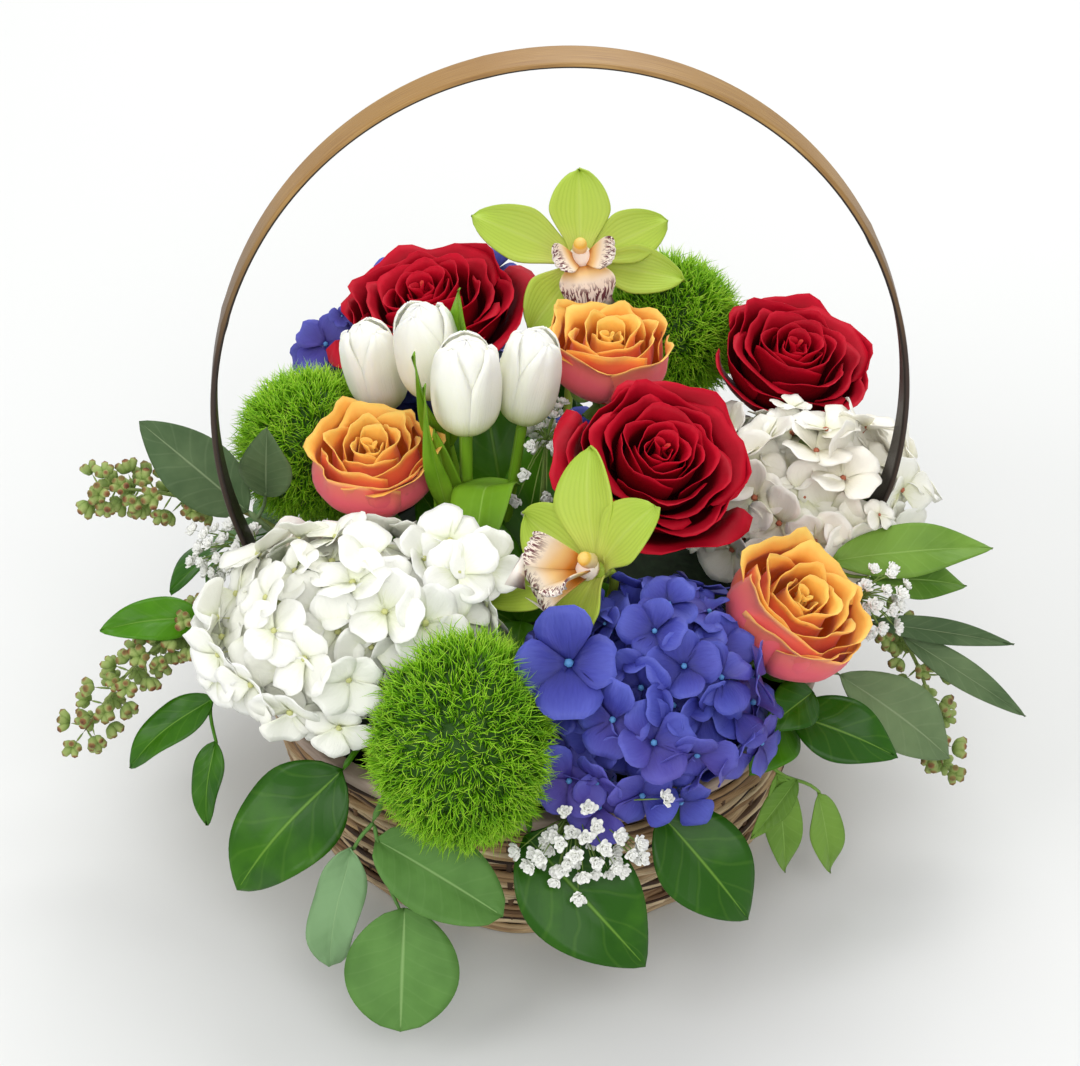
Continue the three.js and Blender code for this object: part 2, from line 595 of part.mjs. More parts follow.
function roseStem({ name, radius, at, facing }) {
  const axis = vec(facing).normalize();
  const seat = vec(at).addScaledVector(axis, -0.76 * radius - gap);
  const cup = loft([circle(2.4, -9, 6), circle(0.18 * radius, 0, 6)]);
  const top = seat.clone().addScaledVector(axis, -7);
  const stem = standStem(name, top, facing, { spread: 0.42 });
  return geometryOf(fuse([stem.body, aimed(cup, seat.toArray(), facing)]));
}

// Tulips

// A closed six-sided egg, a side for each petal, and the three petals that lie over it
function tulipBloom({ radius, half, at, facing, turn }) {
  const profile = [[0.22, -1], [0.72, -0.82], [0.98, -0.36], [0.9, 0.2], [0.6, 0.68]];
  const rings = profile.map(([out, rise]) => circle(radius * out * 0.93, half * rise, 6));
  const egg = loft(rings, null, new THREE.Vector3(0, 0, half * 0.86));
  const petals = [0, 1, 2].map((step) => {
    const middle = (step / 3) * 2 * Math.PI;
    const place = (u, v) => {
      const rise = THREE.MathUtils.lerp(-0.9, 1, u);
      const out = radius * (1.02 - 0.52 * Math.max(rise, -0.9) ** 2 * (rise > 0 ? 0.85 : 0.9));
      const angle = middle + v * 0.72 * Math.sqrt(Math.max(1 - (2 * u - 0.9) ** 2 / 1.25, 0));
      return new THREE.Vector3(out * Math.cos(angle), out * Math.sin(angle), half * rise);
    };
    return blade({ rows: 3, columns: 2, place, depth: (u, v) => 1.3 * petalEdge(u, v) });
  });
  return geometryOf(fuse([egg, ...petals].map((piece) => aimed(piece, at, facing, turn))));
}

// Leaves

// A leaf from base to tip; face is the way that its upper side looks, bow its arch,
// fold the lift of its edges and wave their ripple
function leaf(owner, { base, tip, width, face, bow = 0.1, fold = 0.12, wave = 0.03, widest = 0.42, rows = 3 }) {
  const start = vec(base);
  const run = vec(tip).sub(start);
  const length = run.length();
  const along = run.clone().normalize();
  const across = along.clone().cross(vec(face)).normalize();
  const up = across.clone().cross(along).normalize();
  const place = (u, v) => {
    const skew = u ** (Math.log(0.5) / Math.log(widest));
    const half = (width / 2) * (Math.sin(Math.PI * skew) ** 0.8 * 0.96 + 0.04 * (1 - u));
    const ripple = wave * length * Math.sin(u * 9 + (v > 0 ? 0.6 : 2.4)) * Math.abs(v);
    const lift = bow * length * Math.sin(Math.PI * u * 0.9) + fold * half * Math.abs(v) + ripple;
    return start.clone().addScaledVector(along, u * length).addScaledVector(across, v * half)
      .addScaledVector(up, lift);
  };
  [0.1, 0.25, 0.4, 0.55, 0.7, 0.85, 1].forEach((u) => [-1, -0.5, 0, 0.5, 1].forEach((v) => {
    taken.push({ owner, point: place(u, v), radius: 3.5 });
  }));
  return blade({ rows, columns: 2, place, depth: () => leafDepth });
}

// A tulip's stem with its own leaves
function tulipGreens({ name, at, facing, half, radius, foot = null, leaves }) {
  const axis = vec(facing).normalize();
  const seat = vec(at).addScaledVector(axis, -half - gap);
  const stem = standStem(name, seat, facing, { spread: 0.5, foot, radius: radius * 0.2 });
  const blades = leaves.map(({ share, ...blade }) => (
    leaf(name, { ...blade, base: stem.path.getPoint(share).toArray() })
  ));
  return geometryOf(fuse([stem.body, ...blades]));
}

// A stem with leaves on it, fused: the first path carries the rest
function sprig({ name, stem, leaves, radius = 1.5, twigs = [] }) {
  const main = standStem(name, vec(stem.to), stem.facing, { ...stem, radius });
  const branches = twigs.map((points) => {
    const line = new THREE.CatmullRomCurve3(points.map(vec));
    line.getPoints(8).forEach((point) => taken.push({ owner: name, point, radius: 2 }));
    return rod(line, radius * 0.75, 3, points.length - 1);
  });
  return geometryOf(fuse([main.body, ...branches, ...leaves.map((blade) => leaf(name, blade))]));
}

// Three leaves that hang over the rim behind
function backSprig({ name, angle }) {
  const around = THREE.MathUtils.degToRad(angle);
  const spot = (radius, height, turn = 0) => (
    [radius * Math.cos(around + turn), radius * Math.sin(around + turn), height]
  );
  const out = spot(0.8, 0.6);
  return sprig({
    name,
    stem: { to: spot(140, 106), facing: spot(0.95, 0), over: angle, reach: 16 },
    leaves: [
      { base: spot(140, 106), tip: spot(178, 54, 0.12), width: 46, face: out, bow: 0.14 },
      { base: spot(138, 107), tip: spot(180, 80, -0.34), width: 42, face: out, bow: 0.14 },
      { base: spot(139, 108), tip: spot(180, 98, 0.4), width: 40, face: spot(0.5, 0.86), bow: 0.1 },
    ],
  });
}

// Seeded eucalyptus

// Cone-shaped capsules in pairs along a drooping stem
function seededSprig({ name, stem, line, clusters, seed }) {
  const draw = seededDraw(seed);
  const main = standStem(name, vec(stem.to), stem.facing, { ...stem, radius: 1.4 });
  const branch = new THREE.CatmullRomCurve3(line.map(vec));
  const pieces = [main.body, rod(branch, 1.2, 4, 5)];
  for (let step = 0; step < clusters; step += 1) {
    const share = (step + 1.2) / (clusters + 0.3);
    const [spot, run] = [branch.getPointAt(share), branch.getTangentAt(share)];
    for (let part = 0; part < 2; part += 1) {
      const angle = (part + step / 2) * Math.PI + draw();
      const side = run.clone().cross(zAxis).normalize();
      const out = side.applyAxisAngle(run, angle).addScaledVector(run, 0.3 + 0.5 * draw());
      const length = 9 + 4 * draw();
      const capsule = loft([circle(3.3, length - 0.8, 4)], new THREE.Vector3(), new THREE.Vector3(0, 0, length));
      const mouth = spot.clone().addScaledVector(out.normalize(), length);
      if (!crowded(mouth, name, 3.4)) pieces.push(aimed(capsule, spot.toArray(), out.toArray(), draw()));
    }
  }
  return geometryOf(fuse(pieces));
}

// Baby's breath

// Blossoms round a cloud, each on a thread from the end of the stem
function breathSpray({ name, at, room, foot, blossoms, seed }) {
  const draw = seededDraw(seed);
  const toward = vec([at[0] - foot[0], at[1] - foot[1], at[2] - root.height]).normalize();
  const hub = vec(at).addScaledVector(toward, -room[0] * 0.7);
  const stem = standStem(name, hub, toward.toArray(), { foot, radius: 1.2 });
  const pieces = [stem.body, new THREE.OctahedronGeometry(2.6).translate(...hub)];
  evenDirections(blossoms).forEach((direction) => {
    const out = direction.multiply(vec(room)).multiplyScalar(0.8 + 0.4 * draw());
    const spot = out.add(vec(at));
    if (crowded(spot, name, 4)) return;
    const blossom = new THREE.OctahedronGeometry(3.8 + 0.9 * draw()).rotateX(draw()).rotateY(draw());
    const thread = needle(hub.clone().lerp(spot, 0.05), spot.clone().lerp(hub, -0.02), 0.6);
    pieces.push(blossom.translate(...spot), thread);
  });
  return geometryOf(fuse(pieces));
}

// Orchids

function orchidFrame({ at, facing }) {
  const out = vec(facing).normalize();
  const across = zAxis.clone().cross(out).normalize();
  const up = out.clone().cross(across);
  return new THREE.Matrix4().makeBasis(across, up, out).setPosition(...at);
}

function orchidTepals(orchid) {
  const frame = orchidFrame(orchid);
  const petals = orchid.tepals.map(([degrees, length, width], order) => {
    const angle = THREE.MathUtils.degToRad(degrees);
    const place = (u, v) => {
      const half = (width / 2) * (0.3 + 0.9 * Math.sin(Math.PI * u ** 0.85) ** 0.75) * (u > 0.999 ? 0 : 0.9);
      const out = 2 + u * length;
      const lift = -6 - order * 0.4 + orchid.cup * u * (1.5 - u) * 0.7 + 0.22 * half * v * v;
      const [cos, sin] = [Math.cos(angle), Math.sin(angle)];
      return new THREE.Vector3(out * cos - v * half * sin, out * sin + v * half * cos, lift);
    };
    [0.3, 0.5, 0.7, 0.9].forEach((u) => [-1, 0, 1].forEach((v) => {
      taken.push({ owner: orchid.name, point: place(u, v).applyMatrix4(frame), radius: 4 });
    }));
    return blade({ rows: 3, columns: 2, place, depth: petalEdge }).applyMatrix4(frame);
  });
  const heart = loft([circle(3, -13, 6), circle(5, -7, 6), circle(4, -4.5, 6)]).applyMatrix4(frame);
  const back = new THREE.Vector3(0, 0, -12).applyMatrix4(frame);
  const stem = standStem(orchid.name, back, orchid.facing, { spread: 0.5, radius: 2.2 });
  return geometryOf(fuse([heart, ...petals, stem.body]));
}

// The lip: a cupped front lobe with two side lobes, and the column over it
function orchidLip(orchid) {
  const frame = orchidFrame(orchid).multiply(new THREE.Matrix4().makeRotationZ(orchid.lipTurn));
  const lobe = (middle, length, width, dip) => {
    const place = (u, v) => {
      const half = (width / 2) * (0.35 + 0.75 * Math.sin(Math.PI * Math.min(u * 0.75, 0.62)));
      const out = u * length;
      const lift = 1 + orchid.lipReach * Math.sin(u * 1.9) * 0.8 - dip * u * u + 0.35 * half * v * v;
      const [cos, sin] = [Math.cos(middle), Math.sin(middle)];
      return new THREE.Vector3(out * cos - v * half * sin, out * sin + v * half * cos, lift);
    };
    return blade({ rows: 2, columns: 2, place, depth: petalEdge });
  };
  const lobes = [lobe(-Math.PI / 2, 25, 24, 16), lobe(-0.35, 14, 15, -4), lobe(Math.PI + 0.35, 14, 15, -4)];
  const throat = loft([circle(2.6, -3.9, 6), circle(6, 2.5, 6), circle(4, 6, 6)]);
  const column = loft([circle(4, 2, 6), circle(3.6, 12, 6).map((p) => p.add(new THREE.Vector3(0, 4, 0)))]);
  return geometryOf(fuse([throat, column, ...lobes].map((piece) => piece.applyMatrix4(frame))));
}

// Dianthus

function dianthusBall({ name, at, room, core, needles, spread }) {
  const heart = ellipsoid(at, core);
  const draw = seededDraw(needles);
  const spikes = evenDirections(needles).flatMap((direction) => {
    const lean = vec([draw() - 0.5, draw() - 0.5, draw() - 0.5]).multiplyScalar(0.35);
    const from = direction.clone().multiply(vec(core)).multiplyScalar(0.9).add(vec(at));
    const out = direction.clone().add(lean).normalize();
    const full = direction.clone().multiply(vec(room)).add(vec(at)).sub(from).length();
    const reach = [1, 0.8, 0.62].find((share) => (
      !crowded(from.clone().addScaledVector(out, full * share), name, 1.6)
    ));
    return reach ? [needle(from, from.clone().addScaledVector(out, full * reach), 1.15)] : [];
  });
  const seat = vec(at).add(new THREE.Vector3(-at[0] * 0.1, -at[1] * 0.1, -core[2] * 0.75));
  const stem = standStem(name, seat, [at[0] * 0.004, at[1] * 0.004, 0.8], { spread, reach: 10 });
  return geometryOf(fuse([heart, ...spikes, stem.body]));
}

// Hydrangeas

// Four blunt petals round a stalk, with a thin edge and a dished middle
function floret(radius, stalk, draw) {
  const points = [new THREE.Vector3(0, 0, -0.08 * radius)];
  const spot = (angle, out, rise) => {
    points.push(new THREE.Vector3(out * Math.cos(angle), out * Math.sin(angle), rise * radius));
  };
  for (let petal = 0; petal < 4; petal += 1) {
    const middle = (petal * Math.PI) / 2;
    const tilt = (draw() - 0.5) * 0.2;
    const size = radius * (0.9 + 0.2 * draw());
    spot(middle - Math.PI / 4, radius * 0.6, -0.16);
    spot(middle - 0.4, size, 0.03 + tilt);
    spot(middle + 0.4, size, 0.03 - tilt);
  }
  for (let side = 0; side < 4; side += 1) spot((side * Math.PI) / 2, 1.3, -0.3);
  points.push(new THREE.Vector3(0, 0, -stalk));
  const triangles = [];
  for (let petal = 0; petal < 4; petal += 1) {
    const notch = 1 + petal * 3;
    const next = 1 + ((petal + 1) % 4) * 3;
    const [neck, neckNext, tip] = [13 + petal, 13 + ((petal + 1) % 4), 17];
    triangles.push([0, notch, notch + 1], [0, notch + 1, notch + 2], [0, notch + 2, next]);
    triangles.push([notch + 1, notch, neck], [notch + 2, notch + 1, neck], [next, notch + 2, neck]);
    triangles.push([next, neck, neckNext], [neckNext, neck, tip]);
  }
  return meshOf(points, triangles);
}

function corners(geometry, count) {
  const place = geometry.attributes.position;
  return Array.from({ length: count }, (_, step) => new THREE.Vector3().fromBufferAttribute(place, step));
}

// The corners of a floret, the middles of its petals and points down its stalk
function tested(piece) {
  const points = corners(piece, 18);
  const petals = points.slice(1, 13).map((point) => point.clone().lerp(points[0], 0.45));
  return [...points, ...petals, ...[0.25, 0.5, 0.75].map((share) => points[0].clone().lerp(points[17], share))];
}

// A core covered with florets, which are smaller and sit closer where a neighbour crowds them
function hydrangeaHead({ name, at, room, core, middle = at, florets, floret: size, seed }) {
  const draw = seededDraw(seed);
  const pieces = [ellipsoid(middle, core)];
  evenDirections(florets).forEach((direction) => {
    const [radius, turn] = [size * (0.88 + 0.24 * draw()), draw() * Math.PI];
    const swell = 0.93 + 0.1 * draw();
    const outside = direction.clone().multiply(vec(room)).multiplyScalar(swell).add(vec(at));
    const inside = direction.clone().multiply(vec(core)).multiplyScalar(1.12).add(vec(middle));
    const out = direction.clone().divide(vec(room)).normalize();
    out.add(vec([draw() - 0.5, draw() - 0.5, draw() - 0.5]).multiplyScalar(0.35)).normalize();
    const petals = seededDraw(seed * 100 + radius);
    const tries = [[1, 0], [0.85, 0.4], [0.7, 0.75], [0.55, 1]].map(([share, sink]) => {
      const spot = outside.clone().lerp(inside, sink);
      const stalk = spot.distanceTo(vec(middle)) * 0.62;
      return aimed(floret(radius * share, stalk, petals), spot.toArray(), out.toArray(), turn);
    });
    const free = tries.find((piece) => tested(piece).every((point) => !crowded(point, name, 0.6)));
    if (!free) return;
    pieces.push(free);
    corners(free, 13).forEach((point) => taken.push({ owner: name, point, radius: 3 }));
  });
  const seat = vec(middle).add(new THREE.Vector3(0, 0, -core[2] * 0.6));
  const stem = standStem(name, seat, [at[0] * 0.004, at[1] * 0.004, 1], { spread: 0.6, reach: 10, radius: 3 });
  return geometryOf(fuse([...pieces, stem.body]));
}

// Assembly

const group = new THREE.Group();

function add(name, geometry, shade, roughness = 0.6) {
  const material = new THREE.MeshStandardMaterial({ color: shades[shade], roughness, metalness: 0 });
  const mesh = new THREE.Mesh(geometry, material);
  mesh.name = name;
  group.add(mesh);
}

roses.forEach((rose) => {
  add(rose.name, roseBloom(rose), rose.shade, 0.5);
  add(`${rose.name}_stem`, roseStem(rose), "stem");
});
tulips.forEach((tulip) => {
  add(tulip.name, tulipBloom(tulip), "tulip", 0.45);
  add(`${tulip.name}_greens`, tulipGreens(tulip), "tulipGreen", 0.5);
});
orchids.forEach((orchid) => {
  add(`${orchid.name}_tepals`, orchidTepals(orchid), "orchid", 0.45);
  add(`${orchid.name}_lip`, orchidLip(orchid), "lip", 0.45);
});
foliage.forEach((spray) => add(spray.name, sprig(spray), spray.shade, 0.45));
backSprays.forEach((spray) => add(spray.name, backSprig(spray), spray.shade, 0.45));
balls.forEach((ball) => add(ball.name, dianthusBall(ball), "dianthus", 0.8));
hydrangeas.forEach((head) => add(head.name, hydrangeaHead(head), head.shade));
seeded.forEach((spray) => add(spray.name, seededSprig(spray), "seed", 0.6));
breath.forEach((spray) => add(spray.name, breathSpray(spray), "breath", 0.7));

let wall = basketWall();
let band = hoopBand();
[-1, 1].forEach((side) => {
  const hole = solidOf(pinBar(side, pin.radius + pin.clearance, 6));
  wall = wall.subtract(hole);
  band = band.subtract(hole);
  add(side < 0 ? "handle_pin_left" : "handle_pin_right", pinBar(side, pin.radius), "pin", 0.7);
});
add("basket", geometryOf(wall), "vine", 0.8);
add("basket_rim", basketRim(), "band", 0.7);
add("handle", geometryOf(band), "bamboo", 0.4);
add("liner", linerCup(), "plastic", 0.5);
add("foam", geometryOf(drilledFoam()), "foam", 0.95);

export default group;
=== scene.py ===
# The looks of a flower basket arrangement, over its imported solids.
# Lengths are in millimetres until a piece is finished, which makes them metres.
import math
import random
import bmesh
import bpy
from mathutils import Matrix, Vector, noise
from mathutils.bvhtree import BVHTree


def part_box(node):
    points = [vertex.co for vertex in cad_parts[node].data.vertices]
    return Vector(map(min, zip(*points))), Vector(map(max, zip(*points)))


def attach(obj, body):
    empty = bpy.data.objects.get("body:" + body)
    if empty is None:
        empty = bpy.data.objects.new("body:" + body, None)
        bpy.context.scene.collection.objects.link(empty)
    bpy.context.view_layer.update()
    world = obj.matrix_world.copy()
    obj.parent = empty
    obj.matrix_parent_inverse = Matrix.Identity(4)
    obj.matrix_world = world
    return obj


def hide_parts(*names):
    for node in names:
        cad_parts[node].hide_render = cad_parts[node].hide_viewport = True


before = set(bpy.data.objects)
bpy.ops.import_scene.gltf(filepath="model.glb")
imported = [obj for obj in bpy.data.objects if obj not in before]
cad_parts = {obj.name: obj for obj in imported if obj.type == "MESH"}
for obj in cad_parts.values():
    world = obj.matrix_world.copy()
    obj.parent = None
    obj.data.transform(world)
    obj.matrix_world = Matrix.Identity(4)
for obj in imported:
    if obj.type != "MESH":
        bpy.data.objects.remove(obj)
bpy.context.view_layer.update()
zAxis = Vector((0, 0, 1))


# small helpers
def lerp(low, high, share):
    return low + (high - low) * share


def inside(value, low=0.0, high=1.0):
    return min(max(value, low), high)


def smooth(value, low=0.0, high=1.0):
    share = inside((value - low) / (high - low))
    return share * share * (3 - 2 * share)


def profilePoint(profile, u):  # on straight lines between the pairs of a profile
    spot = inside(u * (len(profile) - 1), 0, len(profile) - 1.0001)
    (x0, y0), (x1, y1) = profile[int(spot)], profile[int(spot) + 1]
    return lerp(x0, x1, spot - int(spot)), lerp(y0, y1, spot - int(spot))


def stepOf(values, u):  # the value that holds at u, when they share it out evenly
    return values[min(int(u * (len(values) - 0.001)), len(values) - 1)]


def aimed(at, facing, turn=0.0, scale=1.0):
    swing = zAxis.rotation_difference(Vector(facing).normalized()).to_matrix().to_4x4()
    return Matrix.Translation(Vector(at)) @ swing @ Matrix.Rotation(turn, 4, "Z") @ Matrix.Scale(scale, 4)


def evenDirections(count):  # spread evenly over a ball, from the top down
    golden = math.pi * (3 - math.sqrt(5))
    for step in range(count):
        height = 1 - 2 * (step + 0.5) / count
        across = math.sqrt(1 - height * height)
        yield Vector((across * math.cos(golden * step), across * math.sin(golden * step), height))


def nodeTrees():  # what each node takes up, to keep the small repeats clear of the others
    trees = {}
    for name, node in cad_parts.items():
        points = [vert.co * 1000 for vert in node.data.vertices]
        faces = [tuple(face.vertices) for face in node.data.polygons]
        low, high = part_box(name)
        trees[name] = (low * 1000, high * 1000, BVHTree.FromPolygons(points, faces))
    return trees


trees = nodeTrees()


def within(point, tree, most=24):  # a ray from inside a closed solid meets it an odd number of times
    start, crossings = point.copy(), 0
    while crossings < most:
        spot = tree.ray_cast(start, zAxis)[0]
        if spot is None:
            break
        crossings += 1
        start = spot + zAxis * 0.01
    return crossings % 2 == 1


def clear(point, own, margin):
    for name, (low, high, tree) in trees.items():
        if name == own or any(point[k] < low[k] - margin or point[k] > high[k] + margin for k in range(3)):
            continue
        if tree.find_nearest(point, margin)[0] or within(point, tree):
            return False
    return True


dressed = []  # the finished pieces, as the nodes each stands for and its faces


def meets(tree, own):  # whether a shape cuts into a finished piece of another node
    return any(own not in nodes and tree.overlap(other) for nodes, other in dressed)


outlines = {}  # the points and faces of the shapes that are placed many times


def cuts(shape, matrix, own):
    if shape.name not in outlines:
        faces = [tuple(face.vertices) for face in shape.polygons]
        outlines[shape.name] = ([vert.co.copy() for vert in shape.vertices], faces)
    points, faces = outlines[shape.name]
    return meets(BVHTree.FromPolygons([matrix @ point for point in points], faces), own)


# mesh helpers
def newMesh():
    bm = bmesh.new()
    for layer in ("along", "across", "tone"):
        bm.verts.layers.float.new(layer)
    return bm


def tag(bm, verts, along=None, across=None, tone=None):
    for layer, value in (("along", along), ("across", across), ("tone", tone)):
        if value is None:
            continue
        key = bm.verts.layers.float[layer]
        for vert in verts:
            vert[key] = value(vert) if callable(value) else value


def addGrid(bm, rows, columns):  # x and y run from -1 to 1
    return bmesh.ops.create_grid(bm, x_segments=rows, y_segments=columns, size=1)["verts"]


def facesOf(verts):  # the faces round some vertices, each once
    return list(dict.fromkeys(face for vert in verts for face in vert.link_faces))


def closeUp(bm, verts, faces, distance=0.0005):  # joins a rolled grid along its seam and ends
    bmesh.ops.remove_doubles(bm, verts=verts, dist=distance)
    bmesh.ops.recalc_face_normals(bm, faces=[face for face in faces if face.is_valid])


def addSheet(bm, rows, columns, place, tone=0.0, thickness=0.5, back=None):
    verts = addGrid(bm, rows, columns)
    tag(bm, verts, lambda vert: (vert.co.x + 1) / 2, lambda vert: vert.co.y, tone)
    for vert in verts:
        vert.co = place((vert.co.x + 1) / 2, vert.co.y)
    faces = facesOf(verts)
    for face in faces:
        face.normal_update()
    for vert in verts:
        vert.normal_update()
    made = bmesh.ops.solidify(bm, geom=faces, thickness=thickness)["geom"]
    if back is not None:  # the other side has a colour of its own
        layer = bm.verts.layers.float["tone"]
        for part in made:
            if isinstance(part, bmesh.types.BMVert):
                part[layer] = back
    return verts


# A tube along path(u), with radius(u); its ends are drawn in to a point
def addTube(bm, path, radius, rows=8, sides=6, tone=0.0, flat=1.0):
    verts = addGrid(bm, rows, sides)
    tag(bm, verts, lambda vert: (vert.co.x + 1) / 2, lambda vert: vert.co.y, tone)
    step = 0.01
    across = None
    for vert in sorted(verts, key=lambda vert: vert.co.x):
        u, angle = (vert.co.x + 1) / 2, (vert.co.y + 1) * math.pi
        run = (path(min(u + step, 1)) - path(max(u - step, 0))).normalized()
        if across is None:
            across = run.orthogonal().normalized()
        across = (across - run * across.dot(run)).normalized()
        up = run.cross(across)
        size = radius(u) if 0.0001 < u < 0.9999 else 0.0
        vert.co = path(u) + (across * math.cos(angle) + up * math.sin(angle) * flat) * size
    closeUp(bm, verts, facesOf(verts))


def addBall(bm, at, radii, detail=2, tone=0.0, rough=0.0):
    verts = bmesh.ops.create_icosphere(bm, subdivisions=detail, radius=1)["verts"]
    tag(bm, verts, 0.0, 0.0, tone)
    for vert in verts:
        swell = 1 + rough * noise.noise(vert.co * 2.3 + Vector(at))
        vert.co = Vector(at) + Vector([vert.co[k] * radii[k] * swell for k in range(3)])


def stored(bm, name):  # a shape that is placed many times
    mesh = bpy.data.meshes.new(name)
    bm.to_mesh(mesh)
    bm.free()
    return mesh


def addCopy(bm, shape, matrix, tone=None):
    copy = shape.copy()
    copy.transform(matrix)
    if tone is not None:
        copy.attributes["tone"].data.foreach_set("value", [tone] * len(copy.vertices))
    bm.from_mesh(copy)
    bpy.data.meshes.remove(copy)


def finishPiece(bm, name, material, nodes, flatShaded=False):
    dressed.append((nodes, BVHTree.FromBMesh(bm)))
    bmesh.ops.scale(bm, vec=(0.001, 0.001, 0.001), verts=bm.verts)
    mesh = bpy.data.meshes.new(name)
    bm.to_mesh(mesh)
    bm.free()
    mesh.polygons.foreach_set("use_smooth", [not flatShaded] * len(mesh.polygons))
    mesh.materials.append(material)
    piece = bpy.data.objects.new(name, mesh)
    bpy.context.scene.collection.objects.link(piece)
    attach(piece, "root")
    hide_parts(*nodes)
    return piece


def makeAll(label, make, pieces):
    for name, settings in pieces.items():
        make(name, **settings)
    print(label)


# material helpers
def tint(red, green, blue):  # an sRGB colour as the shader wants it
    def linear(value):
        value /= 255
        return value / 12.92 if value <= 0.04045 else ((value + 0.055) / 1.055) ** 2.4
    return (linear(red), linear(green), linear(blue), 1)


def shaderColor(color):  # a triple is an sRGB colour, and anything else is ready to use
    return tint(*color) if isinstance(color, tuple) and len(color) == 3 else color


class Wire:  # a shader socket in a sum
    def __init__(self, paint, socket):
        self.paint = paint
        self.socket = socket

    def work(self, operation, first, second=None):
        values = [first] if second is None else [first, second]
        return self.paint.node("ShaderNodeMath", {"operation": operation}, dict(enumerate(values)))

    def __add__(self, other):
        return self.work("ADD", self, other)

    def __radd__(self, other):
        return self.work("ADD", other, self)

    def __sub__(self, other):
        return self.work("SUBTRACT", self, other)

    def __rsub__(self, other):
        return self.work("SUBTRACT", other, self)

    def __mul__(self, other):
        return self.work("MULTIPLY", self, other)

    def __rmul__(self, other):
        return self.work("MULTIPLY", other, self)

    def __pow__(self, other):
        return self.work("POWER", self, other)

    def __abs__(self):
        return self.work("ABSOLUTE", self)


class Paint:  # one material and the ways to add nodes to it
    def __init__(self, name, constants):
        self.material = bpy.data.materials.new(name)
        self.material.use_nodes = True
        self.tree = self.material.node_tree
        self.shader = self.tree.nodes["Principled BSDF"]
        for socket, value in constants.items():
            self.shader.inputs[socket].default_value = value

    def node(self, kind, settings=None, inputs=None, output=0):
        made = self.tree.nodes.new(kind)
        for name, value in (settings or {}).items():
            if name == "stops":
                ramp = made.color_ramp.elements
                while len(ramp) < len(value):
                    ramp.new(0.5)
                for element, (place, color) in zip(ramp, value):
                    element.position, element.color = place, color
            else:
                setattr(made, name, value)
        for name, value in (inputs or {}).items():
            if isinstance(value, Wire):
                self.tree.links.new(value.socket, made.inputs[name])
            else:
                made.inputs[name].default_value = value
        return Wire(self, made.outputs[output])

    def attribute(self, name):
        return self.node("ShaderNodeAttribute", {"attribute_name": name}, output="Fac")

    def place(self, scale=(1, 1, 1)):
        spot = self.node("ShaderNodeTexCoord", output="Object")
        return self.node("ShaderNodeMapping", {}, {"Vector": spot, "Scale": scale})

    def noise(self, scale, detail=3.0, stretch=(1, 1, 1), rough=0.5):
        inputs = {"Vector": self.place(stretch), "Scale": scale, "Detail": detail, "Roughness": rough}
        return self.node("ShaderNodeTexNoise", {}, inputs)

    def ramp(self, factor, stops):
        stops = [(place, shaderColor(color)) for place, color in stops]
        return self.node("ShaderNodeValToRGB", {"stops": stops}, {"Fac": factor})

    def span(self, value, low, high):  # 0 at low and 1 at high, held there outside
        return self.node("ShaderNodeMapRange", {}, {"Value": value, "From Min": low, "From Max": high})

    def mix(self, factor, first, second, blend="MIX"):
        settings = {"data_type": "RGBA", "blend_type": blend}
        inputs = {0: factor, 6: shaderColor(first), 7: shaderColor(second)}
        return self.node("ShaderNodeMix", settings, inputs, 2)

    def grain(self, scale, detail, parts, **more):  # noise that is stretched over a piece's own lengths
        lines = self.node("ShaderNodeCombineXYZ", {}, dict(enumerate(parts)))
        return self.node("ShaderNodeTexNoise", {}, {"Vector": lines, "Scale": scale, "Detail": detail, **more})

    def bump(self, height, strength, distance=0.001):
        inputs = {"Height": height, "Strength": strength, "Distance": distance}
        return self.node("ShaderNodeBump", {}, inputs)

    def use(self, **wires):
        for name, wire in wires.items():
            socket = {"color": "Base Color", "roughness": "Roughness", "normal": "Normal"}[name]
            self.tree.links.new(wire.socket, self.shader.inputs[socket])
        return self.material


# camera, floor and light
view = {"target": (0, 0, 0.1495), "distance": 1.5, "elevation": 38, "focal": 3154, "wide": 1080, "aside": 2}
studio = {"world": 0.66, "key": 27, "fill": 23, "side": 13, "floor": tint(225, 226, 225)}


def addCamera():
    tilt = math.radians(view["elevation"])
    toward = Vector((0, -math.cos(tilt), math.sin(tilt)))
    lens = bpy.data.cameras.new("camera")
    lens.sensor_width = 36
    lens.lens = view["focal"] / view["wide"] * 36
    lens.shift_x = view["aside"] / view["wide"]
    camera = bpy.data.objects.new("camera", lens)
    camera.location = Vector(view["target"]) + toward * view["distance"]
    camera.rotation_euler = (math.pi / 2 - tilt, 0, 0)
    bpy.context.scene.collection.objects.link(camera)
    bpy.context.scene.camera = camera


def addLamp(name, at, size, power):
    light = bpy.data.lights.new(name, "AREA")
    light.shape, light.size, light.energy = "DISK", size, power
    lamp = bpy.data.objects.new(name, light)
    lamp.location = at
    lamp.rotation_euler = (Vector((0, 0, 0.15)) - Vector(at)).to_track_quat("-Z", "Y").to_euler()
    bpy.context.scene.collection.objects.link(lamp)


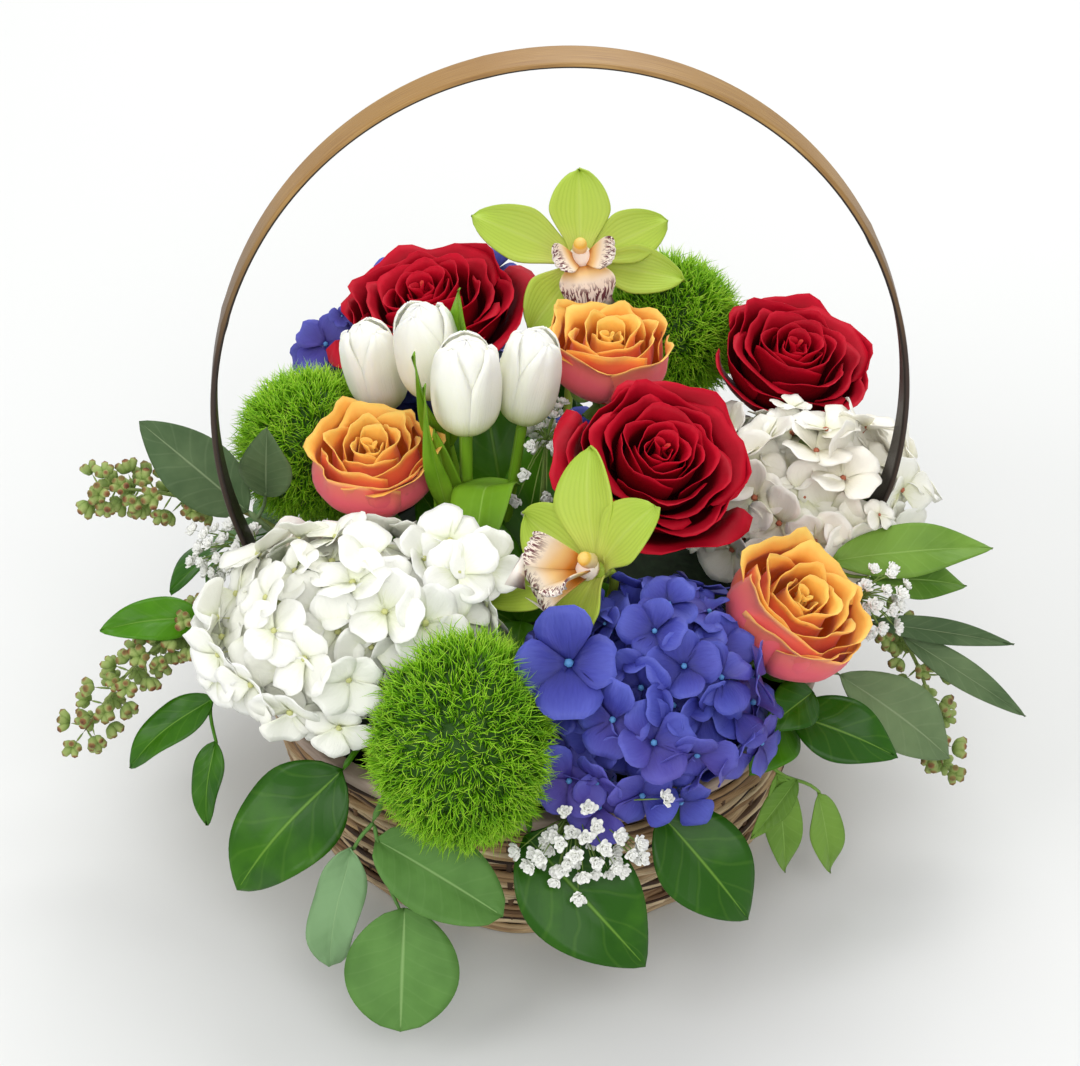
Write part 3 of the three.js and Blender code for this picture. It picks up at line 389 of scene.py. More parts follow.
def addStudio():
    bm = bmesh.new()
    bmesh.ops.create_grid(bm, x_segments=1, y_segments=1, size=8)
    floor = bpy.data.objects.new("floor", stored(bm, "floor"))
    paint = Paint("floor", {"Base Color": studio["floor"], "Roughness": 0.9, "Specular IOR Level": 0.1})
    floor.data.materials.append(paint.material)
    bpy.context.scene.collection.objects.link(floor)
    world = bpy.data.worlds.new("studio")
    world.use_nodes = True
    world.node_tree.nodes["Background"].inputs["Color"].default_value = (1, 1, 1, 1)
    world.node_tree.nodes["Background"].inputs["Strength"].default_value = studio["world"]
    bpy.context.scene.world = world
    addLamp("key", (0.3, 1.4, 1.9), 1.7, studio["key"])
    addLamp("fill", (0.3, -1.9, 1.9), 2.0, studio["fill"])
    addLamp("side", (-1.6, -1.0, 1.5), 1.2, studio["side"])


bpy.context.scene.view_settings.view_transform = "Standard"
addCamera()
addStudio()
print("camera and studio")

# the woven basket: strands of split vine that weave in and out of stakes
basket = {
    "base": 117, "flare": 0.19, "height": 84, "strands": 36, "together": 3, "stakes": 30, "strand": 1.25,
    "weave": 1.15, "inner": 5.2, "tones": (0.2, 0.4, 0.6, 0.75, 0.85, 1.0),
}
rimBand = {"inner": 129.4, "outer": 137.2, "low": 84.5, "high": 91.5, "segments": 96, "rounding": 1.2}


def wallRadius(height):
    return basket["base"] + basket["flare"] * height


def vinePaint():
    paint = Paint("split vine", {"Specular IOR Level": 0.35})
    tone = paint.attribute("tone")
    fiber = paint.noise(55, 4, (1, 1, 7))
    patch = paint.noise(22, 2)
    color = paint.ramp(tone + (patch - 0.5) * 0.7, [
        (0.0, (40, 27, 20)), (0.3, (84, 60, 42)), (0.5, (140, 106, 72)),
        (0.75, (194, 160, 116)), (1.0, (226, 204, 166))])
    shade = paint.ramp(fiber, [(0.3, (148, 130, 114)), (0.7, (255, 255, 255))])
    color = paint.mix(0.75, color, shade, "MULTIPLY")
    normal = paint.bump(fiber, 0.6, 0.0012)
    return paint.use(color=color, roughness=0.55 + fiber * 0.3, normal=normal)


def makeBasket():
    draw = random.Random(11)
    bm = newMesh()
    for strand in range(basket["strands"]):
        course = strand // basket["together"]  # its strands run together through the stakes
        height = lerp(0, basket["height"], (strand + 0.5) / basket["strands"])
        size = basket["strand"] * draw.uniform(0.75, 1.25)
        tone = draw.choice(basket["tones"]) + draw.uniform(-0.08, 0.08)
        swing, lag, start = draw.uniform(0.3, 0.9), draw.uniform(0, 6.3), draw.uniform(0, 6.3)
        waves = basket["stakes"] / 2

        def path(u, height=height, course=course, swing=swing, lag=lag, start=start):
            # its ends overlap, and lie apart from its neighbours' ends
            angle = start + u * 2.01 * math.pi
            weave = basket["weave"] * math.cos(waves * angle + course * math.pi)
            rise = height + swing * (math.sin(2 * angle + lag) + 0.5 * math.sin(5 * angle + 2 * lag))
            out = wallRadius(rise) + weave
            return Vector((out * math.cos(angle), out * math.sin(angle), max(rise, 1.9)))
        addTube(bm, path, lambda u, size=size: size, 140, 6, tone, 1.25)
    for stake in range(basket["stakes"]):
        angle = stake * 2 * math.pi / basket["stakes"]

        def upright(u, angle=angle):
            rise = lerp(1.5, basket["height"], u)
            out = wallRadius(rise) - 0.6
            return Vector((out * math.cos(angle), out * math.sin(angle), rise))
        addTube(bm, upright, lambda u: 1.7, 4, 6, 0.35)

    def lining(u, v):  # the inner face and the floor, behind the strands
        low, high = 0.6, basket["height"] - 0.5
        profile = [(0, low), (0.97, low), (1, low + 1), (1, high), (1, high), (0.99, 7), (0, 7)]
        share, z = profilePoint(profile, u)
        wall = wallRadius(z) - (1.2 if u < 0.6 else basket["inner"])
        angle = v * math.pi
        out = share * wall
        return Vector((out * math.cos(angle), out * math.sin(angle), z))
    verts = addGrid(bm, 24, 72)
    tag(bm, verts, 0.0, 0.0, 0.12)
    for vert in verts:
        vert.co = lining((vert.co.x + 1) / 2, vert.co.y)
    closeUp(bm, verts, facesOf(verts))
    finishPiece(bm, "basket_weave", vinePaint(), ["basket"])


def bandPaint():
    paint = Paint("flat withe", {"Specular IOR Level": 0.3})
    grain = paint.noise(60, 4, (1, 1, 5))
    patch = paint.noise(14, 2)
    color = paint.ramp(grain * 0.6 + patch * 0.4, [
        (0.25, (98, 80, 70)), (0.5, (160, 140, 126)), (0.8, (198, 180, 164))])
    return paint.use(color=color, roughness=0.6 + grain * 0.2, normal=paint.bump(grain, 0.4))


def makeRim():
    bm = newMesh()
    low, high = rimBand["low"], rimBand["high"]
    inner, outer = rimBand["inner"], rimBand["outer"]
    section = [(inner, low), (outer, low), (outer, high), (inner, high)]
    corners = [bm.verts.new((out, 0, rise)) for out, rise in section]
    edges = [bm.edges.new((corners[k], corners[(k + 1) % 4])) for k in range(4)]
    bmesh.ops.spin(bm, geom=corners + edges, axis=(0, 0, 1), cent=(0, 0, 0), angle=2 * math.pi,
                   steps=rimBand["segments"], use_merge=True)
    bmesh.ops.remove_doubles(bm, verts=bm.verts, dist=0.001)
    bmesh.ops.recalc_face_normals(bm, faces=bm.faces)
    sharp = [edge for edge in bm.edges if len(edge.link_faces) == 2 and edge.calc_face_angle() > 1]
    bmesh.ops.bevel(bm, geom=sharp, offset=rimBand["rounding"], segments=3, profile=0.5, affect="EDGES", material=-1)
    finishPiece(bm, "rim_band", bandPaint(), ["basket_rim"])


makeBasket()
makeRim()
print("basket")

# the hoop: one bent bamboo strip with its feet inside the wall
hoop = {
    "centerX": 10.4, "centerZ": 218.7, "halfWidth": 159.3, "rise": 187.6, "strip": 16, "thickness": 3,
    "turn": 0.045, "legRadius": 109.4, "foot": 24, "springs": 178, "legs": 0.26,
    "knots": (0.13, 0.31, 0.47, 0.66, 0.85),
}


def hoopX(height, side):
    lift = inside((height - hoop["centerZ"]) / hoop["rise"], -1, 1)
    high = hoop["centerX"] + side * hoop["halfWidth"] * math.sqrt(1 - lift * lift)
    low = side * (hoop["legRadius"] + basket["flare"] * height)
    return lerp(low, high, smooth(height, basket["height"], hoop["springs"]))


def hoopPoint(u):  # from the left foot over the top to the right one
    legs = hoop["legs"]
    if u < legs or u > 1 - legs:
        side = -1 if u < legs else 1
        height = lerp(hoop["foot"], hoop["centerZ"], min(u, 1 - u) / legs)
        return Vector((hoopX(height, side), 0, height))
    angle = math.pi * (1 - (u - legs) / (1 - 2 * legs))
    x = hoop["centerX"] + hoop["halfWidth"] * math.cos(angle)
    return Vector((x, 0, hoop["centerZ"] + hoop["rise"] * math.sin(angle)))


def bambooPaint():
    paint = Paint("varnished bamboo", {"Specular IOR Level": 0.4, "Coat Weight": 0.12, "Coat Roughness": 0.3})
    along, side, edge = paint.attribute("along"), paint.attribute("across"), paint.attribute("tone")
    grain = paint.grain(4.0, 5.0, (along * 9, side * 7, edge))
    color = paint.ramp(grain, [(0.25, (128, 90, 44)), (0.5, (160, 122, 66)), (0.8, (186, 150, 92))])
    smoky = paint.noise(9, 3)
    color = paint.mix(paint.span(smoky, 0.5, 0.8) * 0.5, color, (134, 92, 52))
    color = paint.mix(paint.span(abs(along - 0.5), 0.13, 0.21), color, (52, 34, 24))
    # painted shade: the inner face of the strip, under the arch, is painted near-black as its shadow side
    color = paint.mix(paint.span(edge, 0.3, 0.6), color, (30, 22, 18))
    return paint.use(color=color, roughness=0.42 + grain * 0.18, normal=paint.bump(grain, 0.25, 0.0008))


def makeHandle():
    bm = newMesh()
    verts = addGrid(bm, 220, 24)
    swing = Matrix.Rotation(hoop["turn"], 3, "Z")
    for vert in verts:
        u, angle = (vert.co.x + 1) / 2, vert.co.y * math.pi
        run = (hoopPoint(min(u + 0.004, 1)) - hoopPoint(max(u - 0.004, 0))).normalized()
        out = Vector((-run.z, 0, run.x))
        knot = sum(math.exp(-((u - spot) / 0.0022) ** 2) for spot in hoop["knots"])
        wide = hoop["strip"] / 2 * abs(math.cos(angle)) ** 0.18 * math.copysign(1, math.cos(angle))
        deep = (hoop["thickness"] / 2 + 0.35 * knot) * abs(math.sin(angle)) ** 0.5 * math.copysign(1, math.sin(angle))
        if u < 0.0001 or u > 0.9999:
            wide, deep = wide * 0.01, deep * 0.01
        # the inner face is tagged here so that it can carry its painted shade, a near-black colour
        inner = 1.0 if deep > 0.4 else 0.0
        tag(bm, [vert], u, wide / 8, inner)
        vert.co = swing @ (hoopPoint(u) - out * deep + Vector((0, wide, 0)))
    bmesh.ops.remove_doubles(bm, verts=verts, dist=0.002)
    bmesh.ops.recalc_face_normals(bm, faces=bm.faces)
    finishPiece(bm, "hoop_handle", bambooPaint(), ["handle"])


def plainPaint(name, color, roughness, scale, depth):
    paint = Paint(name, {"Specular IOR Level": 0.3})
    rough = paint.noise(scale, 4)
    dark = tuple(value * depth for value in color[:3]) + (1,)
    tone = paint.ramp(rough, [(0.3, dark), (0.7, color)])
    return paint.use(color=tone, roughness=roughness + rough * 0.1, normal=paint.bump(rough, 0.5))


def dressNode(name, material):  # a solid whose shape is right keeps it
    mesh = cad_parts[name].data
    mesh.materials.clear()
    mesh.materials.append(material)


makeHandle()
# painted shade: the foam has the dark green of wet foam, darkened further so that it reads as shadow where it shows
# between the stems
dressNode("foam", plainPaint("wet foam darkened as painted shade", tint(38, 54, 34), 0.85, 260, 0.5))
dressNode("liner", plainPaint("liner plastic", tint(32, 40, 32), 0.4, 90, 0.7))
pegPaint = plainPaint("peg wood", tint(118, 86, 54), 0.6, 120, 0.6)
dressNode("handle_pin_left", pegPaint)
dressNode("handle_pin_right", pegPaint)
print("hoop, liner and foam")

# stems: each stands in the foam, and one that crosses the rim rises first
root = {"height": 93, "ring": 84, "rise": 20, "reach": 22}


def stemPath(top, facing, spread=0.5, foot=None, over=None, reach=root["reach"]):
    top = Vector(top)
    start = Vector((*(foot or (top.x * spread, top.y * spread)), root["height"]))
    if over is not None:
        around = math.radians(over)
        out = Vector((math.cos(around), math.sin(around), 0))
        start = out * root["ring"] + zAxis * root["height"]
        first = out * (root["ring"] + 17) + zAxis * (root["height"] + root["rise"])
    else:
        first = start + (top - start).normalized() * 18
    last = top - Vector(facing).normalized() * reach

    def path(u):
        near, far = 1 - u, u
        return start * near ** 3 + first * (3 * near * near * far) + last * (3 * near * far * far) + top * far ** 3
    return path


def threadPath(points):  # a smooth line through a few points
    points = [Vector(point) for point in points]

    def path(u):
        spot = inside(u) * (len(points) - 1)
        k = min(int(spot), len(points) - 2)
        t = spot - k
        before, after = points[max(k - 1, 0)], points[min(k + 2, len(points) - 1)]
        a, b = points[k], points[k + 1]
        return 0.5 * (2 * a + (b - before) * t + (2 * before - 5 * a + 4 * b - after) * t * t
                      + (3 * a - before - 3 * b + after) * t ** 3)
    return path


# leafy sprays
def leaf(base, tip, width, face, bow=0.1, **more):  # face is the way that its upper side looks
    return {"base": base, "tip": tip, "width": width, "face": face, "bow": bow, **more}


sprays = {
    "salal_front_center": {
        "kind": "salal", "stem": {"top": (-4, -146, 90), "facing": (0, -0.8, -0.6), "over": -93},
        "leaves": [leaf((-6, -145, 90), (48, -178, 40), 54, (0.1, -0.75, 0.65), 0.12)],
    },
    "salal_front_right": {
        "kind": "salal", "stem": {"top": (60, -138, 96), "facing": (0.2, -0.8, -0.5), "over": -57},
        "leaves": [leaf((55, -137, 96), (95, -156, 48), 44, (0.3, -0.8, 0.5), 0.12)],
    },
    "eucalyptus_front": {
        "kind": "gum", "stem": {"top": (-75, -142, 94), "facing": (-0.4, -0.8, -0.5), "over": -121},
        "twigs": [[(-74, -142, 95), (-69, -158, 78), (-61, -169, 63)],
                  [(-74, -142, 95), (-80, -144, 88), (-84, -145, 80)]],
        "leaves": [
            leaf((-73, -147, 89), (-16, -176, 69), 40, (0.1, -0.6, 0.8), 0.07, widest=0.5, ends=0.52),
            leaf((-60, -167, 66), (-62, -202, 23), 53, (0, -0.79, 0.61), 0.05, widest=0.52, ends=0.55),
            leaf((-84, -144, 82), (-95, -169, 31), 26, (-0.3, -0.8, 0.5), widest=0.52, wave=0.09, ends=0.6, tone=1.2),
        ],
    },
    "salal_left": {
        "kind": "salal", "stem": {"top": (-90, -112, 98), "facing": (-0.5, -0.6, -0.6), "over": -129},
        "leaves": [leaf((-89, -111, 99), (-138, -133, 44), 50, (-0.5, -0.7, 0.5), 0.12, wave=0.045, tone=0.1)],
    },
    "salal_left_low": {
        "kind": "salal", "stem": {"top": (-148, -50, 104), "facing": (-0.9, -0.3, -0.3), "over": -163},
        "twigs": [[(-146, -49, 105), (-152, -42, 116), (-160, -32, 126)],
                  [(-147, -50, 104), (-154, -64, 96), (-150, -80, 84)]],
        "leaves": [
            leaf((-159, -33, 125), (-206, -40, 122), 23, (-0.1, -0.5, 0.86)),
            leaf((-152, -60, 98), (-192, -72, 64), 22, (-0.4, -0.5, 0.77), 0.15),
            leaf((-151, -77, 86), (-155, -98, 52), 18, (-0.5, -0.7, 0.5)),
        ],
    },
    "eucalyptus_left": {
        "kind": "sage", "stem": {"top": (-140, 16, 152), "facing": (-0.6, 0.1, 0.8), "foot": (-78, 14)},
        "twigs": [[(-136, 16, 144), (-131, 12, 156), (-129, 8, 168)]],
        "leaves": [
            leaf((-139, 16, 150), (-191, 44, 183), 34, (-0.1, -0.7, 0.7)),
            leaf((-129, 9, 165), (-126, 6, 207), 26, (-0.1, -0.95, 0.3), 0.06),
        ],
    },
    "ruscus_right": {
        "kind": "ruscus", "stem": {"top": (139, -22, 150), "facing": (0.8, 0, 0.5), "foot": (84, -14)},
        "twigs": [[(134, -22, 147), (146, -28, 146), (156, -32, 148)]],
        "leaves": [
            leaf((138, -22, 150), (214, -16, 152), 27, (0, -0.5, 0.86), 0.08),
            leaf((155, -33, 148), (202, -22, 134), 22, (0.1, -0.4, 0.9), 0.08),
        ],
    },
    "willow_right": {
        "kind": "sage", "stem": {"top": (158, -36, 124), "facing": (0.95, -0.1, 0), "over": -14},
        "twigs": [[(156, -36, 124), (166, -36, 122), (173, -37, 116)]],
        "leaves": [
            leaf((157, -36, 124), (226, -30, 105), 13, (0.1, -0.6, 0.8), 0.06, wave=0.01),
            leaf((172, -37, 117), (232, -48, 76), 15, (0.1, -0.7, 0.7), 0.06, wave=0.01),
        ],
    },
    "salal_center": {
        "kind": "salal", "stem": {"top": (-8, -48, 136), "facing": (-0.1, -0.2, 1), "foot": (-6, -34)},
        "twigs": [[(-7, -41, 122), (8, -32, 124), (27, -31, 126)]],
        "leaves": [
            leaf((-8, -46, 130), (-44, -44, 152), 32, (0.1, -0.6, 0.8)),
            leaf((-8, -48, 134), (-12, -86, 128), 26, (0, -0.5, 0.86)),
            leaf((-8, -46, 132), (6, -22, 168), 26, (0.1, -0.7, 0.7)),
            leaf((25, -31, 124), (74, -48, 146), 26, (0, -0.5, 0.86)),
            leaf((-12, -16, 122), (-34, 34, 178), 38, (0, -0.7, 0.7), filler=True),
            leaf((-2, -10, 122), (4, 56, 176), 40, (0, -0.7, 0.7), filler=True),
            leaf((8, -22, 124), (30, 22, 168), 36, (-0.1, -0.7, 0.7), filler=True),
            leaf((-20, -24, 120), (-58, 22, 160), 34, (0.1, -0.7, 0.7), filler=True),
            leaf((-6, -50, 124), (30, -84, 140), 34, (0, -0.5, 0.86), 0.12, filler=True),
            leaf((16, -36, 122), (52, -62, 150), 34, (0, -0.6, 0.8), 0.12, filler=True),
            leaf((-16, 40, 130), (-28, 82, 186), 46, (0, -0.8, 0.6), 0.08, filler=True),
            leaf((8, 42, 130), (12, 84, 184), 42, (0, -0.8, 0.6), 0.08, filler=True),
            leaf((-30, 20, 126), (-54, 62, 172), 36, (0, -0.7, 0.7), 0.08, filler=True),
        ],
    },
    "eucalyptus_right": {
        "kind": "sage", "stem": {"top": (142, -60, 112), "facing": (0.9, -0.3, -0.2), "over": -24},
        "leaves": [leaf((141, -60, 112), (193, -76, 74), 35, (0.2, -0.6, 0.77), widest=0.5)],
    },
    "salal_right": {
        "kind": "salal", "stem": {"top": (118, -84, 102), "facing": (0.7, -0.6, -0.3), "over": -34},
        "twigs": [[(115, -82, 103), (122, -86, 112), (126, -86, 124)]],
        "leaves": [
            leaf((117, -83, 108), (166, -96, 92), 33, (0.1, -0.5, 0.86), tone=0),
            leaf((126, -86, 124), (102, -108, 120), 24, (0.2, -0.6, 0.77), 0.2, tone=0),
            leaf((116, -82, 104), (96, -116, 100), 26, (0.1, -0.7, 0.7), filler=True),
            leaf((100, -52, 116), (140, -62, 124), 32, (0.4, -0.4, 0.8), 0.12, filler=True),
            leaf((100, -44, 116), (142, -34, 118), 34, (0.5, -0.2, 0.84), 0.12, filler=True),
        ],
    },
    "trailing_right": {
        "kind": "ruscus", "stem": {"top": (103, -100, 98), "facing": (0.6, -0.6, -0.5), "over": -44},
        "twigs": [[(102, -99, 99), (112, -102, 88), (126, -96, 76), (133, -92, 66)]],
        "leaves": [
            leaf((110, -102, 89), (116, -106, 30), 19, (0.3, -0.85, 0.4), 0.06),
            leaf((131, -93, 68), (139, -92, 16), 18, (0.4, -0.8, 0.4), 0.06),
            leaf((120, -99, 82), (98, -120, 64), 13, (0.1, -0.8, 0.6)),
        ],
    },
}
backSprays = {"salal_back_right": 36, "salal_back_center": 84, "salal_back_left": 152}


def leafPlace(base, tip, width, face, bow=0.1, fold=0.12, wave=0.03, widest=0.42, peak=0.0, ends=0.8):
    start = Vector(base)
    run = Vector(tip) - start
    length = run.length
    along = run.normalized()
    across = along.cross(Vector(face)).normalized()
    up = across.cross(along).normalized()
    power = math.log(0.5) / math.log(widest)

    def place(u, v):
        half = width / 2 * (inside(math.sin(math.pi * u ** power)) ** ends * 0.96 + 0.04 * (1 - u))
        side = smooth(v, -0.25, 0.25)
        ripple = wave * length * abs(v) * lerp(math.sin(u * 9 + 2.4), math.sin(u * 9 + 0.6), side)
        crease = 0.9 * (1 - math.exp(-abs(v) * 9)) - 0.9
        bend = lerp(math.sin(math.pi * u * 0.9), 1.1 - math.sqrt((2.2 * u - 1.06) ** 2 + 0.01), peak)
        lift = bow * length * bend + fold * half * abs(v) + ripple + crease
        return start + along * (u * length) + across * (v * half) + up * lift
    return place


filler = {"sizes": (1, 0.85, 0.7, 0.55), "along": (0.3, 0.5, 0.7, 0.85, 1), "across": (-0.9, -0.45, 0, 0.45, 0.9)}


def roomyLeaf(shape, own):  # the leaf, or a smaller one, that is clear of other nodes
    base = Vector(shape["base"])
    for shrink in filler["sizes"]:
        smaller = {**shape, "tip": base.lerp(Vector(shape["tip"]), shrink), "width": shape["width"] * shrink}
        place = leafPlace(**smaller)
        trial = newMesh()
        addLeaf(trial, smaller, 0)
        tree = BVHTree.FromBMesh(trial)
        trial.free()
        roomy = all(clear(place(u, v), own, 1) for u in filler["along"] for v in filler["across"])
        if roomy and not meets(tree, own):
            return smaller
    return None


def addLeaf(bm, shape, tone):
    addSheet(bm, 22, 10, leafPlace(**shape), tone, 0.55)


def leafPaint(name, dark, light, vein, roughness, veins, clarity, coat=0.0):
    paint = Paint(name, {"Specular IOR Level": 0.22, "Coat Weight": coat, "Coat Roughness": 0.18})
    along, across, tone = paint.attribute("along"), paint.attribute("across"), paint.attribute("tone")
    side = abs(across)
    slant = along * veins - side * (2.1 - side * 0.7)  # side veins run out and forward from the midrib
    slant = slant + (paint.noise(60, 1) - 0.5) * 0.5
    wave = slant.work("PINGPONG", slant, 0.5)
    thin = 1 - paint.span(wave, 0.02, 0.09)
    rib = 1 - paint.span(side, 0.012, 0.045)
    lines = rib.work("MAXIMUM", rib, thin * clarity)
    patch = paint.noise(34, 4)
    color = paint.mix(paint.span(patch + (tone - 0.5) * 0.6, 0.25, 0.75), dark, light)
    color = paint.mix(lines * 0.7, color, vein)
    color = paint.mix(paint.span(tone, 1.0, 1.1) * 0.6, color, (136, 168, 130))
    height = 1 - lines * 0.8 - wave * 0.7 + patch * 0.5
    return paint.use(color=color, roughness=roughness + patch * 0.15, normal=paint.bump(height, 0.35, 0.0012))


leafPaints = {
    "salal": leafPaint("salal leaf", (34, 84, 0), (72, 130, 6), (112, 156, 54), 0.3, 5, 0.14, 0.05),
    "gum": leafPaint("round gum leaf", (58, 100, 34), (94, 138, 66), (140, 176, 108), 0.5, 8, 0.08),
    "sage": leafPaint("gray leaf", (70, 94, 58), (112, 134, 92), (142, 160, 120), 0.5, 8, 0.14),
    "ruscus": leafPaint("ruscus leaf", (74, 114, 30), (114, 152, 58), (144, 180, 90), 0.4, 9, 0.16),
    "tulip": leafPaint("tulip leaf", (80, 130, 14), (124, 170, 40), (152, 194, 82), 0.35, 1, 0.1),
}


def makeSpray(name, kind, stem, leaves, twigs=()):
    draw = random.Random(name)
    bm = newMesh()
    addTube(bm, stemPath(**stem), lambda u: 1.5, 14, 8, 0.8)
    for twig in twigs:
        addTube(bm, threadPath(twig), lambda u: 1.05 - 0.3 * u, 10, 6, 0.8)
    for blade in leaves:
        shape = {key: value for key, value in blade.items() if key not in ("tone", "filler")}
        tone = blade.get("tone", draw.random())
        if "filler" in blade:  # it only fills a gap
            shape = roomyLeaf(shape, name)
        if shape:
            addLeaf(bm, shape, tone)
    finishPiece(bm, name + "_leaves", leafPaints[kind], [name])


def backSpray(angle):
    around = math.radians(angle)

    def spot(radius, height, turn=0.0):
        return (radius * math.cos(around + turn), radius * math.sin(around + turn), height)
    out = spot(0.8, 0.6)
    return {
        "kind": "salal", "stem": {"top": spot(140, 106), "facing": spot(0.95, 0), "over": angle, "reach": 16},
        "leaves": [
            leaf(spot(140, 106), spot(178, 54, 0.12), 46, out, 0.14),
            leaf(spot(138, 107), spot(180, 80, -0.34), 42, out, 0.14),
            leaf(spot(139, 108), spot(180, 98, 0.4), 40, spot(0.5, 0.86)),
            leaf(spot(112, 116), spot(126, 160, 0.2), 36, spot(0.95, 0.3), filler=True),
            leaf(spot(110, 116), spot(128, 150, -0.3), 34, spot(0.95, 0.3), filler=True),
            leaf(spot(104, 116), spot(140, 132, 0.05), 38, spot(0.5, 0.86), filler=True),
            leaf(spot(104, 116, 0.4), spot(134, 134, 0.5), 36, spot(0.6, 0.8), filler=True),
            leaf(spot(104, 116, -0.4), spot(134, 134, -0.5), 36, spot(0.6, 0.8), filler=True),
            leaf(spot(108, 114, 0.6), spot(150, 112, 0.55), 36, spot(0.5, 0.86, 0.6), 0.14, filler=True),
            leaf(spot(108, 114, -0.6), spot(150, 112, -0.55), 36, spot(0.5, 0.86, -0.6), 0.14, filler=True),
        ],
    }


makeAll("leafy sprays", makeSpray, sprays)
makeAll("sprays at the back", makeSpray, {name: backSpray(angle) for name, angle in backSprays.items()})

# roses: petals round a bud, each further out and lower than the last
roses = {
    "rose_red_center": {
        "kind": "red", "at": (55, -24, 211), "facing": (0.2, -0.38, 0.9), "radius": 42, "turn": 0.2,
        "guards": [(3.6, 0.02), (4.9, 0.06)]},
    "rose_red_back": {
        "kind": "red", "at": (-55, 115, 202), "facing": (-0.2, -0.06, 0.97), "radius": 45, "turn": 1.1,
        "guards": [(4.3, 0.04), (5.9, 0.07)]},
    "rose_red_right": {
        "kind": "red", "at": (126, 102, 179), "facing": (0.2, -0.18, 0.95), "radius": 41, "turn": 0.6,
        "guards": []},
    "rose_orange_left": {
        "kind": "orange", "at": (-77, 8, 187), "facing": (-0.05, -0.17, 0.98), "radius": 36, "turn": 0.4,
        "guards": [(4.2, 0), (5.6, 0)]},
    "rose_orange_top": {
        "kind": "orange", "at": (34, 52, 218), "facing": (0.06, -0.06, 1), "radius": 35, "turn": 0.9,
        "guards": [(2.6, 0.02), (3.8, -0.03)]},
    "rose_orange_right": {
        "kind": "orange", "at": (117, -73, 162), "facing": (0.4, -0.26, 0.88), "radius": 40, "turn": 0,
        "guards": [(5.3, 0.02), (4.0, -0.08)]},
}
roseKinds = {
    "red": {"petals": 27, "base": -0.66, "bud": 0.3, "top": 0.34, "rim": 0.12, "belly": 0.06, "roll": 0.15,
            "wave": 0.035, "thick": 0.3},
    "orange": {"petals": 16, "base": -0.74, "bud": 0.3, "top": 0.46, "rim": 0.42, "belly": 0.24, "roll": 0.13,
               "wave": 0.045, "thick": 0.3},
}
petalStep = math.radians(137.5)


def rosePetal(order, t, middle, radius, shape, drop=0.0):
    reach = lerp(0.045, 0.98, t ** 0.9)
    top = lerp(shape["bud"], shape["top"], smooth(t, 0, 0.35)) - drop
    top = lerp(top, shape["rim"] - drop, smooth(t, 0.4, 1)) + 0.045 * math.sin(order * 2.7)
    wide = lerp(2.1, 0.98, smooth(t, 0, 0.6))
    roll = shape["roll"] * smooth(t, 0.12, 0.8) * (0.8 + 0.5 * math.sin(order * 1.9)) + drop
    lean = 0.9 * math.sin(order * 2.4)
    point = 0.07 * (1 + math.sin(order * 3.1))

    def place(u, v):
        corner = abs(v) ** 3
        s = u * (1 - (0.24 - 0.1 * t) * corner - 0.06 * lean * v)
        angle = middle + v * wide * (0.35 + 0.65 * math.sin(min(s * 1.25, 1) * math.pi / 2))
        out = reach * (1 - (1 - min(s, 1)) ** lerp(3.2, 2.3, t))
        out = max(out, 0.02) - (0.05 * (1 - t) + (shape["belly"] - drop) * t) * smooth(s, 0.45, 0.95)
        rise = lerp(shape["base"], top, s ** lerp(1.0, 1.2, t))
        fold = smooth(s, 0.7, 1)
        out += roll * fold ** 2 * (0.6 + 0.8 * abs(v) ** 1.5) + point * fold ** 3 * math.exp(-9 * v * v)
        rise -= roll * fold ** 3 * (0.3 + 1.3 * abs(v) ** 2)
        waves = math.sin(5.5 * v + order * 1.7) + 0.5 * math.sin(11 * v + order)
        ripple = shape["wave"] * (0.3 + t) * s ** 3 * waves
        crease = 0.012 * math.sin(9 * s + 4 * v * v + order * 2) * t * s
        out += ripple + crease
        return Vector((out * math.cos(angle), out * math.sin(angle), rise + ripple * 0.6)) * radius
    return place


def redPaint():
    paint = Paint("red rose petal", {"Specular IOR Level": 0.14, "Sheen Weight": 0.03, "Sheen Roughness": 0.3,
                                     "Sheen Tint": tint(255, 40, 60)})
    along, tone = paint.attribute("along"), paint.attribute("tone")
    patch = paint.noise(48, 4)
    veins = paint.noise(230, 2, (1, 1, 0.3))
    # painted shade: each petal is painted nearly black at its base, deep in the cup, and rises to its red at the rim
    color = paint.ramp(along + (patch - 0.5) * 0.3, [
        (0.0, (30, 0, 6)), (0.5, (84, 0, 12)), (0.8, (146, 2, 24)), (1.0, (196, 10, 40))])
    color = paint.mix(paint.span(tone, 0.5, 1) * 0.35, color, (112, 2, 16))
    color = paint.mix((1 - paint.span(tone, 0.0, 0.012)) * 0.5, color, (226, 96, 70))
    return paint.use(color=color, roughness=0.5 + patch * 0.15, normal=paint.bump(veins, 0.25, 0.0006))


